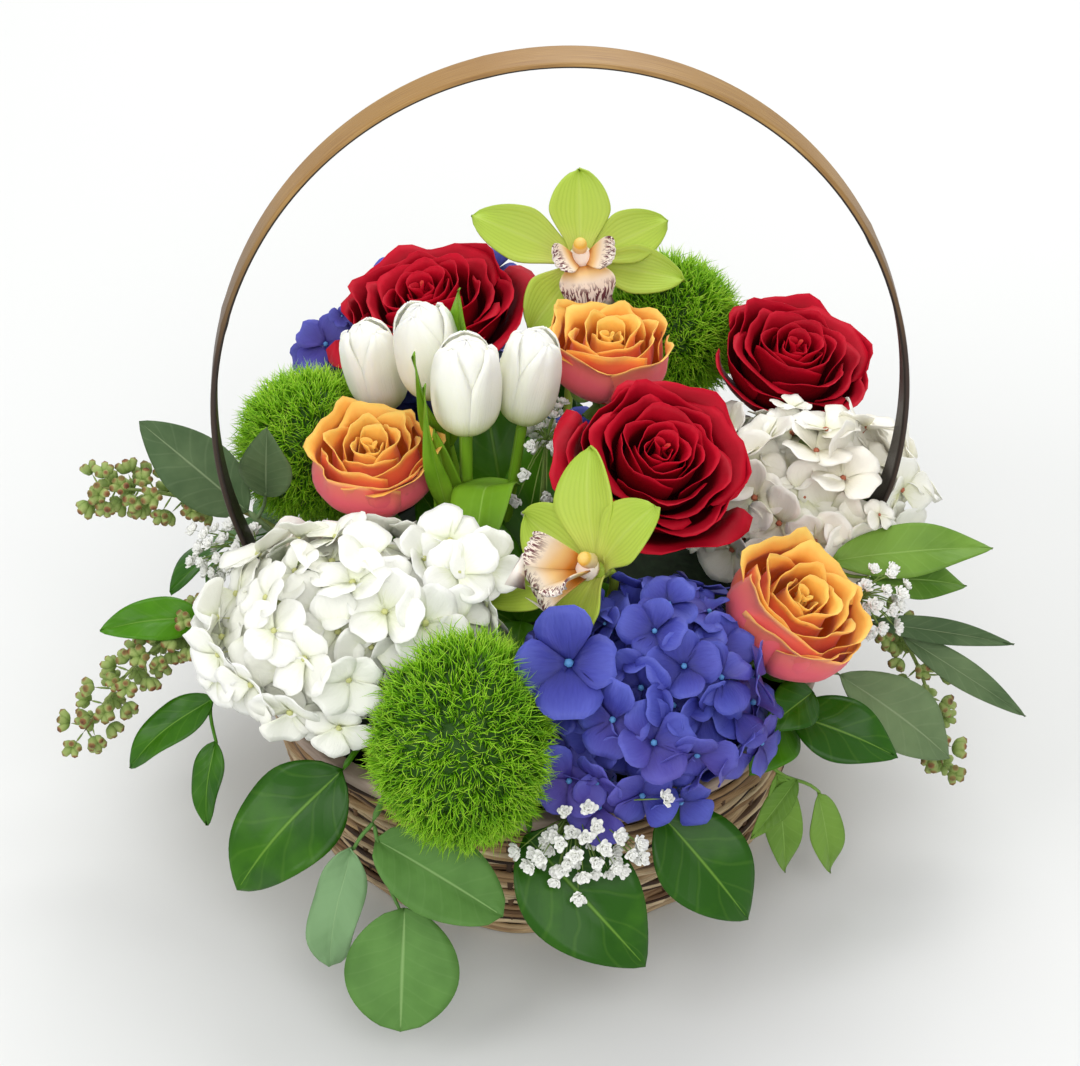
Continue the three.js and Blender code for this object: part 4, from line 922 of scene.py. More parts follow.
def orangePaint():
    paint = Paint("orange rose petal", {"Specular IOR Level": 0.25, "Sheen Weight": 0.1, "Sheen Roughness": 0.4,
                                        "Subsurface Weight": 0.2, "Subsurface Radius": (0.005, 0.003, 0.002)})
    along, tone = paint.attribute("along"), paint.attribute("tone")
    patch = paint.noise(38, 3)
    veins = paint.noise(210, 2, (1, 1, 0.3))
    inner = paint.ramp(along + (patch - 0.5) * 0.4, [
        (0.0, (214, 66, 14)), (0.45, (238, 120, 36)), (0.75, (248, 170, 66)), (1.0, (253, 208, 104))])
    outer = paint.ramp(along + (patch - 0.5) * 0.3, [
        (0.0, (216, 66, 70)), (0.6, (230, 86, 80)), (0.86, (240, 120, 80)), (0.97, (250, 184, 94))])
    outer = paint.mix(paint.span(tone + (patch - 0.5) * 0.1, 0.94, 1.02), outer, paint.ramp(along, [
        (0.0, (222, 84, 84)), (0.7, (230, 98, 112)), (0.92, (236, 124, 106)), (1.0, (248, 184, 108))]))
    color = paint.mix(paint.span(tone + (patch - 0.5) * 0.2, 0.34, 0.62), inner, outer)
    flaw = paint.node("ShaderNodeTexVoronoi", {}, {"Vector": paint.place(), "Scale": 85.0, "Randomness": 1.0})
    spots = 1 - paint.span(flaw, 0.05, 0.13)
    spots = spots * paint.span(paint.noise(30, 1), 0.62, 0.7) * paint.span(along, 0.5, 0.8)
    color = paint.mix(spots * 0.7, color, (150, 78, 40))
    return paint.use(color=color, roughness=0.5 + patch * 0.1, normal=paint.bump(veins, 0.2, 0.0006))


def stemPaint():
    paint = Paint("flower stem", {"Specular IOR Level": 0.4})
    patch = paint.noise(40, 3, (1, 1, 0.3))
    color = paint.ramp(patch, [(0.3, (72, 108, 38)), (0.7, (126, 164, 66))])
    return paint.use(color=color, roughness=0.45 + patch * 0.1, normal=paint.bump(paint.noise(150, 2), 0.15))


greenStem = stemPaint()
rosePaints = {"red": redPaint(), "orange": orangePaint()}


def makeRose(name, kind, at, facing, radius, turn, guards):
    bm = newMesh()
    matrix = aimed(at, facing, turn)
    shape = roseKinds[kind]
    petals = [(order / (shape["petals"] - 1), order * petalStep, 0) for order in range(shape["petals"])]
    petals += [(1.04, angle - turn, drop) for angle, drop in guards]  # broad outer ones, hanging a little
    for order, (t, middle, drop) in enumerate(petals):
        petal = rosePetal(order, t, middle, radius, shape, drop)
        addSheet(bm, 14, 14, lambda u, v: matrix @ petal(u, v), 0.3 * t, shape["thick"], back=0.3 + 0.7 * t)
    heart = [(0.02, -0.76), (0.2, -0.74), (0.4, -0.6), (0.38, -0.42), (0.2, -0.2), (0.02, 0.1)]

    def bulb(u, v):
        out, rise = profilePoint(heart, u)
        out = 0 if u < 0.001 or u > 0.999 else out
        return matrix @ (Vector((out * math.cos(v * math.pi), out * math.sin(v * math.pi), rise)) * radius)
    verts = addGrid(bm, 10, 16)
    tag(bm, verts, 0.1, 0.0, 0.9)
    for vert in verts:
        vert.co = bulb((vert.co.x + 1) / 2, vert.co.y)
    bmesh.ops.remove_doubles(bm, verts=verts, dist=0.001)
    finishPiece(bm, name + "_bloom", rosePaints[kind], [name])


# the cup under a rose, its five sepals and the stem
def makeRoseStem(name, at, facing, radius):
    bm = newMesh()
    axis = Vector(facing).normalized()
    seat = Vector(at) - axis * (0.76 * radius + 0.3)
    addTube(bm, stemPath(seat - axis * 7, facing, 0.42), lambda u: 2.4, 16, 8, 0.5)
    matrix = aimed(seat, facing)
    profile = [2.4, 2.6, 4.2, 6.2, 0.18 * radius, 0.16 * radius]
    addTube(bm, lambda u: seat - axis * (10 * (1 - u)), lambda u: stepOf(profile, u), 10, 14, 0.5)
    for step in range(5):
        middle = step * 2 * math.pi / 5 + 0.3

        def sepal(u, v):
            half = 3.6 * math.sin(math.pi * min(0.18 + u * 0.82, 1)) ** 0.8
            out, rise = 0.16 * radius + 16 * u * (1 - 0.2 * u), -1 - 5 * math.sin(u * 2.2) + 6 * u * u
            spot = Vector((out, v * half, rise - abs(v)))
            return matrix @ (Matrix.Rotation(middle, 3, "Z") @ spot)
        addSheet(bm, 8, 4, sepal, 0.5, 0.5)
    finishPiece(bm, name + "_stem_fine", greenStem, [name + "_stem"])


for name, rose in roses.items():
    makeRose(name, **rose)
    makeRoseStem(name, rose["at"], rose["facing"], rose["radius"])
print("roses")

# tulips: three outer petals over three inner ones, closed to an egg; a leaf's base is a share of the stem
tulips = {
    "tulip_1": {"at": (-79, 62, 203), "facing": (-0.22, -0.05, 0.97), "radius": 13.5, "half": 25, "turn": 0.3},
    "tulip_2": {
        "at": (-52, 42, 226), "facing": (-0.12, -0.05, 0.99), "radius": 14.5, "half": 26, "turn": 1.2,
        "leaves": [leaf(0.7, (-38, 42, 259), 21, (-0.5, -0.8, 0.2), -0.06),
                   leaf(0.5, (-57, 10, 246), 9, (-0.4, -0.9, 0.1), 0.04)]},
    "tulip_3": {
        "at": (-33, 4, 233), "facing": (0.02, -0.08, 0.99), "radius": 15.5, "half": 26, "turn": 0.7,
        "foot": (-34, -6),
        "leaves": [leaf(0.4, (-51, -8, 242), 10, (-0.4, -0.9, 0.1), 0.08),
                   leaf(0.2, (-48, 6, 206), 20, (0.2, -0.9, 0.3), 0.05)]},
    "tulip_4": {
        "at": (-4, 18, 228), "facing": (0.12, -0.05, 0.99), "radius": 13.5, "half": 26, "turn": 0.1, "foot": (-24, 0),
        "leaves": [leaf(0.66, (-31, -52, 168), 31, (-0.3, -0.6, 0.75), 0.3, peak=1, widest=0.52)]},
}


def tulipPaint():
    paint = Paint("white tulip petal", {"Specular IOR Level": 0.35, "Subsurface Weight": 0.3,
                                        "Subsurface Radius": (0.006, 0.006, 0.004)})
    along, across = paint.attribute("along"), paint.attribute("across")
    streak = paint.grain(3.0, 3.0, (across * 9, along * 1.2))
    color = paint.ramp(along + (streak - 0.5) * 0.2, [
        (0.0, (198, 208, 112)), (0.14, (230, 234, 180)), (0.34, (247, 247, 228)), (1.0, (253, 253, 244))])
    midrib = (1 - paint.span(abs(across), 0.0, 0.2)) * paint.span(along, 0.75, 0.1)
    color = paint.mix(midrib * 0.3, color, (206, 214, 140))
    return paint.use(color=color, roughness=0.38 + streak * 0.1, normal=paint.bump(streak, 0.3, 0.0007))


tulipWhite = tulipPaint()


def makeTulip(name, at, facing, radius, half, turn, leaves=(), foot=None):
    bm = newMesh()
    matrix = aimed(at, facing, turn)
    for order in range(6):
        outer = order % 2
        middle = order * math.pi / 3
        top = (1, 0.84, 1, 0.95, 1, 0.9)[order]

        def petal(u, v):
            rise = lerp(-0.97, top, u)
            full = 1 - abs(rise) ** (2.4 if rise > 0 else 3.6)
            out = radius * (0.02 + (0.97 if outer else 0.9) * full ** 0.56)
            width = 1.22 - 0.2 * smooth(u, 0.25, 0)
            if outer:  # its tip is rounded and stands a little open
                width *= math.sqrt(inside(1.02 - inside((u - 0.35) / 0.65) ** 2.6))
                out += radius * (0.05 + 0.16 * smooth(u, 0.7, 1)) - 0.5 * abs(v) ** 4
            out += 0.35 * math.cos(9 * v) * smooth(u, 0.05, 0.4)
            angle = middle + v * width + 0.1 * math.sin(3 * u + order)
            return matrix @ Vector((out * math.cos(angle), out * math.sin(angle), half * rise))
        addSheet(bm, 18, 14, petal, order / 6, 0.5)
    finishPiece(bm, name + "_bloom", tulipWhite, [name])
    greens = newMesh()
    seat = Vector(at) - Vector(facing).normalized() * (half + 0.3)
    path = stemPath(seat, facing, 0.5, foot)
    addTube(greens, path, lambda u: radius * 0.2, 16, 10, 0.9)
    for blade in leaves:
        addLeaf(greens, {**blade, "base": path(blade["base"])}, 0.6)
    finishPiece(greens, name + "_greens_fine", leafPaints["tulip"], [name + "_greens"])


makeAll("tulips", makeTulip, tulips)

# cymbidium orchids: five tepals, then a lip of three lobes round a column
orchids = {
    "orchid_back": {
        "at": (21, 124, 224), "facing": (0.05, -0.66, 0.75), "cup": 14, "lipReach": 18, "lipTurn": 0.1,
        "tepals": [(88, 44, 27), (155, 56, 25), (22, 46, 24), (-14, 50, 22), (-128, 42, 24)]},
    "orchid_front": {
        "at": (23, -82, 194), "facing": (-0.62, -0.53, 0.54), "cup": 24, "lipReach": 30, "lipTurn": -0.4,
        "tepals": [(120, 52, 29), (64, 44, 27), (-70, 34, 24), (176, 44, 27), (-138, 58, 22)]},
}
lipLobes = [(-math.pi / 2, 25, 25, 16), (-0.35, 14, 15, -4), (math.pi + 0.35, 14, 15, -4)]


def tepalPaint():
    paint = Paint("green tepal", {"Specular IOR Level": 0.35, "Subsurface Weight": 0.1,
                                  "Subsurface Radius": (0.004, 0.005, 0.001)})
    along, across = paint.attribute("along"), paint.attribute("across")
    rib = abs(across.work("SINE", across * 21))
    patch = paint.noise(34, 3)
    color = paint.ramp(along + (patch - 0.5) * 0.4, [
        (0.0, (214, 220, 112)), (0.35, (184, 204, 78)), (1.0, (166, 194, 62))])
    color = paint.mix((1 - paint.span(abs(across), 0.0, 0.1)) * 0.22, color, (214, 226, 130))
    color = paint.mix((1 - rib) * 0.18, color, (136, 168, 44))
    return paint.use(color=color, roughness=0.42 + patch * 0.12, normal=paint.bump(rib * 0.6 + patch, 0.25, 0.0006))


def lipPaint():
    paint = Paint("orchid lip", {"Specular IOR Level": 0.35, "Subsurface Weight": 0.1,
                                 "Subsurface Radius": (0.004, 0.003, 0.002)})
    along, tone = paint.attribute("along"), paint.attribute("tone")
    patch = paint.noise(60, 2)
    color = paint.ramp(along + (patch - 0.5) * 0.2, [
        (0.0, (128, 70, 24)), (0.14, (206, 132, 44)), (0.3, (236, 196, 130)),
        (0.5, (244, 226, 204)), (1.0, (248, 238, 228))])
    across = paint.attribute("across")
    streaks = paint.grain(1.5, 2.0, (across * 7, along * 4, tone * 7), Distortion=0.8)
    blots = paint.span(streaks, 0.49, 0.53) * paint.span(along, 0.5, 0.72) * (1 - paint.span(along, 0.95, 0.99))
    color = paint.mix(blots * paint.span(tone, 0.2, 0.4) * 0.95, color, (96, 12, 36))
    cap = paint.span(tone, 0.04, 0.08) * paint.span(tone, 0.3, 0.2)  # the column, with its yellow cap
    color = paint.mix(cap, color, paint.ramp(along, [
        (0.3, (226, 196, 150)), (0.6, (240, 214, 160)), (0.75, (238, 188, 74)), (1.0, (240, 206, 120))]))
    return paint.use(color=color, roughness=0.4 + patch * 0.1, normal=paint.bump(patch, 0.2, 0.0008))


tepalGreen, lipCream = tepalPaint(), lipPaint()


def makeOrchid(name, at, facing, cup, lipReach, lipTurn, tepals):
    out = Vector(facing).normalized()
    side = zAxis.cross(out).normalized()
    up = out.cross(side)
    matrix = Matrix((side, up, out)).transposed().to_4x4()
    matrix.translation = Vector(at)
    bm = newMesh()
    for order, (angle, length, width) in enumerate(tepals):
        turn = Matrix.Rotation(math.radians(angle), 4, "Z")

        def tepal(u, v):
            rounded = inside(1 - inside((u - 0.42) / 0.58) ** 2) ** 0.66
            half = width / 2 * lerp(0.34, 1.14, smooth(u, 0, 0.55)) * rounded
            lift = -5.6 - 0.4 * order + cup * u * (1.5 - u) * 0.7 + 0.26 * half * v * v
            lift += 0.9 * math.sin(5 * u + 2 * order) * v
            lift += 1.4 * u ** 3 * math.sin(3 * v + order) + 0.25 * math.cos(18 * v) * (1 - u)
            return matrix @ (turn @ Vector((2 + u * length, half * v, lift - 0.8 * math.exp(-60 * v * v) * (1 - u))))
        addSheet(bm, 22, 12, tepal, order / 5, 0.9)
    addTube(bm, lambda u: matrix @ Vector((0, 0, lerp(-12.6, -3.9, u))),
            lambda u: lerp(3, 5, math.sin(u * 2)), 6, 12, 0.5)
    path = stemPath(matrix @ Vector((0, 0, -12)), facing, 0.5)
    addTube(bm, path, lambda u: 2.2, 16, 8, 0.5)
    finishPiece(bm, name + "_tepals_fine", tepalGreen, [name + "_tepals"])

    lip = newMesh()
    spin = Matrix.Rotation(lipTurn, 4, "Z")
    for lobe, (middle, length, width, dip) in enumerate(lipLobes):
        turn = Matrix.Rotation(middle, 4, "Z")

        def petal(u, v):
            half = width / 2 * (0.35 + 0.75 * math.sin(math.pi * min(0.75 * u, 0.62)))
            half *= math.sqrt(inside(1 - 0.5 * u ** 8))
            frill = 1.5 * smooth(u, 0.55, 1) * math.sin(13 * v + lobe) * (1 if lobe == 0 else 0.5)
            lift = 1 + lipReach * math.sin(1.9 * u) * 0.8 - dip * u * u + 0.35 * half * v * v + frill
            rounded = length * u * (1 - 0.16 * v * v * u)
            return matrix @ (spin @ (turn @ Vector((2 + rounded, half * v, lift))))
        addSheet(lip, 18, 20, petal, 0.4 + lobe * 0.2, 0.7)
    throat = [2.6, 5.2, 6.2, 5.4, 4]
    addTube(lip, lambda u: matrix @ Vector((0, 0, lerp(-3.9, 6, u))),
            lambda u: stepOf(throat, u), 10, 14, 0.0)
    addTube(lip, lambda u: matrix @ (spin @ Vector((0, 4 + 2.2 * u * u, lerp(2, 12, u)))),
            lambda u: (3.9 - 0.5 * u) * math.sqrt(inside(1 - u ** 6, 0.05, 1)), 10, 12, 0.1)
    finishPiece(lip, name + "_lip_fine", lipCream, [name + "_lip"])


makeAll("orchids", makeOrchid, orchids)

# hydrangeas: broad four-petalled florets over a pale green core
hydrangeas = {
    "hydrangea_white_left": {
        "kind": "white", "at": (-84, -74, 150), "room": (72, 58, 48), "middle": (-90, -70, 153),
        "core": (44, 36, 32), "count": 108, "reach": (18, 22),
        "extra": [((-24, -70, 184), (0.3, -0.6, 0.75), 19), ((-36, -76, 186), (0.2, -0.6, 0.75), 20),
                  ((-40, -58, 190), (0.1, -0.5, 0.85), 20), ((-20, -60, 178), (0.4, -0.6, 0.65), 17),
                  ((-143, -80, 152), (-0.8, -0.4, 0.5), 20), ((-137, -64, 164), (-0.7, -0.3, 0.65), 20),
                  ((-145, -92, 139), (-0.8, -0.5, 0.3), 18), ((-126, -92, 166), (-0.4, -0.5, 0.75), 20)]},
    "hydrangea_white_right": {
        "kind": "ivory", "at": (130, 36, 145), "room": (59, 56, 44), "middle": (132, 44, 144),
        "core": (34, 33, 30), "count": 96, "reach": (18, 22),
        "extra": [((160, -10, 168), (0.4, -0.5, 0.75), 20), ((150, -16, 158), (0.3, -0.6, 0.7), 19),
                  ((167, 0, 175), (0.5, -0.4, 0.75), 18)]},
    "hydrangea_blue_front": {
        "kind": "blue", "at": (50, -100, 138), "room": (64, 62, 56), "middle": (54, -102, 141),
        "core": (38, 33, 30), "count": 104, "reach": (16, 20),
        "extra": [((14, -128, 177), (-0.3, -0.66, 0.7), 27), ((14, -148, 126), (-0.2, -0.8, 0.5), 19),
                  ((27, -154, 116), (0, -0.9, 0.4), 18), ((10, -138, 138), (-0.4, -0.8, 0.4), 17)]},
    "hydrangea_blue_back": {
        "kind": "blue", "at": (-64, 144, 152), "room": (44, 40, 42), "middle": (-64, 144, 152),
        "core": (29, 26, 27), "count": 84, "reach": (14, 18),
        "extra": [((-8, 66, 160), (0.1, -0.6, 0.8), 15), ((10, 60, 152), (0.2, -0.6, 0.8), 14),
                  ((20, 60, 166), (0, -0.7, 0.7), 14), ((-106, 122, 174), (-0.3, -0.6, 0.7), 17),
                  ((-111, 128, 163), (-0.5, -0.6, 0.6), 16), ((-100, 126, 190), (-0.3, -0.6, 0.7), 15),
                  ((-73, 168, 184), (-0.2, -0.4, 0.9), 15), ((-22, 164, 190), (0.2, -0.4, 0.9), 15)]},
}
floret = {"kinds": 8, "petals": 4, "grid": 5, "thick": 0.22, "layers": (1.0, 0.84), "lowest": -0.55, "apart": 0.5,
          "tip": 0.8, "foot": 0.7}


def floretShapes(rng):
    shapes = []
    for kind in range(floret["kinds"]):
        bm = newMesh()
        cup, twist = rng.uniform(0.0, 0.7), rng.uniform(-0.3, 0.3)
        for order in range(floret["petals"]):
            middle = order * math.pi / 2 + rng.uniform(-0.12, 0.12)
            size, lift, nick = rng.uniform(0.82, 1.0), rng.uniform(-0.2, 0.35), rng.uniform(0, 0.1)
            turn = Matrix.Rotation(middle, 4, "Z") @ Matrix.Rotation(twist + rng.uniform(-0.1, 0.1), 4, "X")

            def petal(u, v):
                far, aside = (2 * u - 1) * math.sqrt(1 - v * v / 2), v * math.sqrt(1 - (2 * u - 1) ** 2 / 2)
                share = (far + 1) / 2
                out = size * (0.03 + 0.97 * share) - nick * math.exp(-14 * aside * aside) * share ** 4
                wide = size * 0.57 * (0.5 + 0.5 * smooth(share, 0, 0.6))
                rise = 0.02 * order + cup * 0.5 * out * out + lift * out - 0.06 * share ** 3
                rise += 0.16 * aside * aside * (1 - 1.3 * share) + 0.05 * share * math.sin(5 * aside + kind + order)
                return turn @ Vector((out, wide * aside, rise))
            addSheet(bm, floret["grid"], floret["grid"], petal, order / 8, floret["thick"] / 18)
        addBall(bm, (0, 0, 0.06), (0.085, 0.085, 0.085), 1, 1.0)
        shapes.append(stored(bm, "floret_%d" % kind))
    return shapes


def hydrangeaPaint(kind, deep, body, edge, eye, blush):
    paint = Paint(kind + " hydrangea petal", {
        "Specular IOR Level": 0.3, "Subsurface Weight": 0.25, "Subsurface Radius": (0.005, 0.005, 0.005)})
    along, across, tone = paint.attribute("along"), paint.attribute("across"), paint.attribute("tone")
    patch = paint.noise(26, 3)
    veins = paint.grain(2.2, 3.0, (across * 5, along * 1.6, tone * 9))
    # painted shade: each petal is painted darker towards its base (the deep colour), in the creases where the florets
    # crowd; in the white and ivory heads that base colour is also their real green tinge
    depth = along * 0.8 + (patch - 0.5) * 0.35 + (veins - 0.5) * 0.3 + 0.1
    color = paint.ramp(depth, [(0.0, deep), (0.42, body), (1.0, edge)])
    color = paint.mix(paint.span(paint.noise(14, 1), 0.5, 0.7) * 0.5, color, blush)
    color = paint.mix(paint.span(tone, 0.9, 0.95), color, eye)
    return paint.use(color=color, roughness=0.46 + veins * 0.12, normal=paint.bump(veins, 0.3, 0.0008))


# the first colour of each kind is the petal base: painted shade, and in the pale kinds also their real green
hydrangeaColors = {
    "white": [(222, 228, 186), (247, 248, 238), (252, 252, 248), (206, 208, 140), (244, 244, 230)],
    "ivory": [(214, 216, 168), (244, 243, 228), (252, 251, 244), (180, 104, 76), (238, 228, 214)],
    "blue": [(34, 36, 104), (58, 62, 156), (92, 102, 198), (84, 140, 196), (92, 64, 146)],
}
hydrangeaPaints = {kind: hydrangeaPaint(kind, *colors) for kind, colors in hydrangeaColors.items()}
floretRng = random.Random(5)
florets = floretShapes(floretRng)


def greenCorePaint():
    paint = Paint("flower head heart", {"Specular IOR Level": 0.3})
    patch = paint.noise(60, 3)
    color = paint.ramp(patch, [(0.3, (96, 122, 62)), (0.7, (168, 186, 118))])
    return paint.use(color=color, roughness=0.6 + patch * 0.1)


# sizes, turns and depths that a floret tries before it is left out
tries = [(shrink, spin, lift) for shrink in (1, 0.85, 0.72, 0.6, 0.48)
         for lift in (0, 0.06, 0.12) for spin in (0, 0.52, 1.05)]


def makeHydrangea(name, kind, at, room, middle, core, count, reach, extra):
    bm = newMesh()
    center, heart = Vector(at), Vector(middle)
    spots = [(Vector(spot), Vector(facing), size) for spot, facing, size in extra]
    for order, direction in enumerate(evenDirections(count)):
        if direction.z < floret["lowest"]:
            continue
        size = floretRng.uniform(*reach)
        wobble = Vector(floretRng.uniform(-0.45, 0.45) for _ in range(3))
        facing = (direction + wobble + zAxis * 0.12).normalized()
        depth = floret["layers"][order % 2] * floretRng.uniform(0.95, 1.02) - 0.07
        spot = center + Vector(direction[k] * (room[k] - 2) * depth for k in range(3))
        if all((spot - other[0]).length > floret["apart"] * other[2] for other in spots[:len(extra)]):
            spots.append((spot, facing, size))
    for spot, facing, size in spots:
        shape, turn = floretRng.choice(florets), floretRng.uniform(0, 6.28)
        for shrink, spin, lift in tries:
            place = aimed(spot.lerp(heart, lift), facing, turn + spin, size * shrink)
            tips = [place @ Vector((floret["tip"] * math.cos(k * math.pi / 2),
                                    floret["tip"] * math.sin(k * math.pi / 2), 0.1)) for k in range(4)]
            if all(clear(point, name, 0.2) for point in [spot] + tips) and not cuts(shape, place, name):
                addCopy(bm, shape, place)
                foot, seat = heart.lerp(spot, floret["foot"]), place.translation.copy()
                addTube(bm, lambda u: foot.lerp(seat, u), lambda u: 0.7, 2, 4, 1.0)
                break
    finishPiece(bm, name + "_florets", hydrangeaPaints[kind], [name])
    green = newMesh()
    addBall(green, heart, core, 4, 0.0, 0.2)
    seat = heart - zAxis * (0.6 * core[2])
    addTube(green, stemPath(seat, (0.004 * at[0], 0.004 * at[1], 1), 0.6, None, None, 10), lambda u: 3, 16, 8, 0.5)
    finishPiece(green, name + "_core", greenHeart, [name])


greenHeart = greenCorePaint()
makeAll("hydrangeas", makeHydrangea, hydrangeas)

# green balls: a round core thickly set with tufts of curling threads
balls = {
    "dianthus_front": {"at": (-33, -136, 140), "room": (46, 53, 54), "core": (37, 42, 43), "spread": 0.5},
    "dianthus_left": {"at": (-110, 64, 154), "room": (42, 43, 42), "core": (31, 32, 31), "spread": 0.55},
    "dianthus_back": {"at": (66, 142, 170), "room": (42, 43, 42), "core": (30, 31, 30), "spread": 0.5},
}
tuft = {"kinds": 6, "threads": 24, "tufts": 350, "reach": 12, "spread": 0.8, "thick": 0.4, "joints": 3,
        "sizes": (1, 0.85, 0.7, 0.55, 0.4)}


def ballPaint():
    paint = Paint("green thread", {"Specular IOR Level": 0.3})
    along, tone = paint.attribute("along"), paint.attribute("tone")
    patch = paint.noise(46, 3)
    color = paint.ramp(along + (patch - 0.5) * 0.3 + (tone - 0.5) * 0.3, [
        (0.0, (38, 80, 2)), (0.4, (94, 156, 8)), (0.75, (144, 204, 26)), (1.0, (184, 226, 66))])
    return paint.use(color=color, roughness=0.5 + patch * 0.1)


def tuftShapes(rng):
    shapes = []
    for kind in range(tuft["kinds"]):
        bm = newMesh()
        for thread in range(tuft["threads"]):
            angle, tip = rng.uniform(0, 2 * math.pi), tuft["spread"] * math.sqrt(rng.random())
            curl, turn, reach = rng.uniform(-0.4, 0.7), rng.uniform(-0.9, 0.9), tuft["reach"] * rng.uniform(0.72, 1.2)

            def path(u):
                swing = angle + turn * u * u
                out = reach * (0.1 + math.sin(tip) * (u + curl * u * u * 0.6))
                rise = reach * (u - 0.32 * abs(curl) * u ** 3) - 3
                return Vector((out * math.cos(swing), out * math.sin(swing), rise))
            addTube(bm, path, lambda u: tuft["thick"] * (1.15 - 0.8 * u), tuft["joints"], 3, rng.random())
        shapes.append(stored(bm, "tuft_%d" % kind))
    return shapes


ballGreen = ballPaint()
tuftRng = random.Random(17)
tufts = tuftShapes(tuftRng)


def makeBall(name, at, room, core, spread):
    bm = newMesh()
    center = Vector(at)
    addBall(bm, center, core, 4, 0.35, 0.05)
    for direction in evenDirections(tuft["tufts"]):
        spot = Vector(a * b for a, b in zip(direction, core))
        wobble = Vector(tuftRng.uniform(-0.32, 0.32) for _ in range(3))
        facing = (direction + wobble).normalized()
        depth = Vector(a * b for a, b in zip(direction, room)).length - spot.length
        scale = (depth + 1.5) / tuft["reach"] * tuftRng.uniform(0.85, 1.15)
        if clear(center + spot + facing * depth * 0.7, name, 4):
            place = aimed(center + spot, facing, tuftRng.uniform(0, 6.28), 1)
            shape, tone = tuftRng.choice(tufts), tuftRng.random()
            for shrink in tuft["sizes"]:
                smaller = place @ Matrix.Diagonal((shrink, shrink, scale * shrink, 1))
                if not cuts(shape, smaller, name):
                    addCopy(bm, shape, smaller, tone)
                    break
    facing = (0.004 * at[0], 0.004 * at[1], 0.8)
    seat = center + Vector((-0.1 * at[0], -0.1 * at[1], -0.75 * core[2]))
    addTube(bm, stemPath(seat, facing, spread, None, None, 10), lambda u: 2.4, 16, 8, 0.5)
    finishPiece(bm, name + "_threads", ballGreen, [name])


makeAll("green balls", makeBall, balls)

# seeded eucalyptus: capsules crowded along a curved twig
seededTwigs = {
    "seeded_left_high": {
        "stem": (-150, 34, 140), "facing": (-0.9, 0, 0.4), "foot": (-80, 26), "count": 135,
        "line": [(-148, 34, 139), (-172, 28, 150), (-192, 24, 157), (-211, 20, 161)]},
    "seeded_left_low": {
        "stem": (-146, -30, 122), "facing": (-0.9, -0.2, 0.1), "foot": (-82, -20), "count": 200,
        "line": [(-144, -30, 122), (-166, -36, 120), (-192, -46, 104), (-216, -60, 76)]},
    "seeded_right": {
        "stem": (158, -22, 118), "facing": (0.9, -0.1, -0.1), "foot": (88, -6), "count": 120,
        "line": [(156, -22, 118), (172, -30, 112), (186, -42, 86), (194, -60, 54)]},
}
capsule = {"kinds": 3, "length": 9, "width": 2.3, "sides": 7, "group": 5, "out": 14}


def capsuleShapes(rng):
    shapes = []
    for kind in range(capsule["kinds"]):
        bm = newMesh()
        profile = [0.0, 0.4, 0.72, 0.94, 1.0, 0.94, 0.86, 0.8, 0.0]
        wide = capsule["width"] * rng.uniform(0.9, 1.1)
        addTube(bm, lambda u: Vector((0, 0, capsule["length"] * u)),
                lambda u: wide * profile[min(round(u * 8), 8)], 8, capsule["sides"], 0.5)
        shapes.append(stored(bm, "capsule_%d" % kind))
    return shapes


def capsulePaint():
    paint = Paint("seed capsule", {"Specular IOR Level": 0.35})
    along, tone = paint.attribute("along"), paint.attribute("tone")
    patch = paint.noise(120, 3)
    color = paint.ramp(along + (patch - 0.5) * 0.2, [
        (0.0, (104, 130, 54)), (0.5, (146, 168, 92)), (0.84, (162, 174, 104)),
        (0.92, (140, 92, 56)), (1.0, (88, 46, 28))])
    color = paint.mix(tone * 0.35, color, (108, 132, 60))
    return paint.use(color=color, roughness=0.55 + patch * 0.1, normal=paint.bump(patch, 0.3, 0.0006))


capsuleGreen = capsulePaint()
seedRng = random.Random(23)
capsules = capsuleShapes(seedRng)


def makeSeeded(name, stem, facing, foot, line, count):
    bm = newMesh()
    path, lead = threadPath(line), stemPath(stem, facing, foot=foot)
    addTube(bm, lead, lambda u: 1.4, 16, 7, 0.9)
    addTube(bm, path, lambda u: lerp(1.3, 0.6, u), 20, 6, 0.9)
    groups = count // capsule["group"]
    for step in range(groups):
        share = lerp(0.12, 1.0, (step + 0.5) / groups)
        node = path(share)
        run = (path(min(share + 0.02, 1)) - path(share - 0.02)).normalized()
        away = Matrix.Rotation(step * 2.4, 3, run) @ run.orthogonal().normalized()
        out = (away + run * 0.5).normalized()
        hub = node + out * capsule["out"] * seedRng.uniform(0.35, 0.75)
        addTube(bm, lambda u: node.lerp(hub, u), lambda u: 0.5, 3, 4, 0.9)
        for order in range(capsule["group"]):
            spin = Matrix.Rotation(order * 6.283 / capsule["group"] + step, 3, out)
            aim = (out + spin @ out.orthogonal().normalized() * seedRng.uniform(0.5, 1.1)).normalized()
            size = seedRng.uniform(0.72, 1.0)
            shape = seedRng.choice(capsules)
            place, tone = aimed(hub, aim, seedRng.uniform(0, 6), size), seedRng.random()
            if clear(hub + aim * capsule["length"] * size, name, 0.3) and not cuts(shape, place, name):
                addCopy(bm, shape, place, tone)
    finishPiece(bm, name + "_capsules", capsuleGreen, [name])


makeAll("seeded twigs", makeSeeded, seededTwigs)

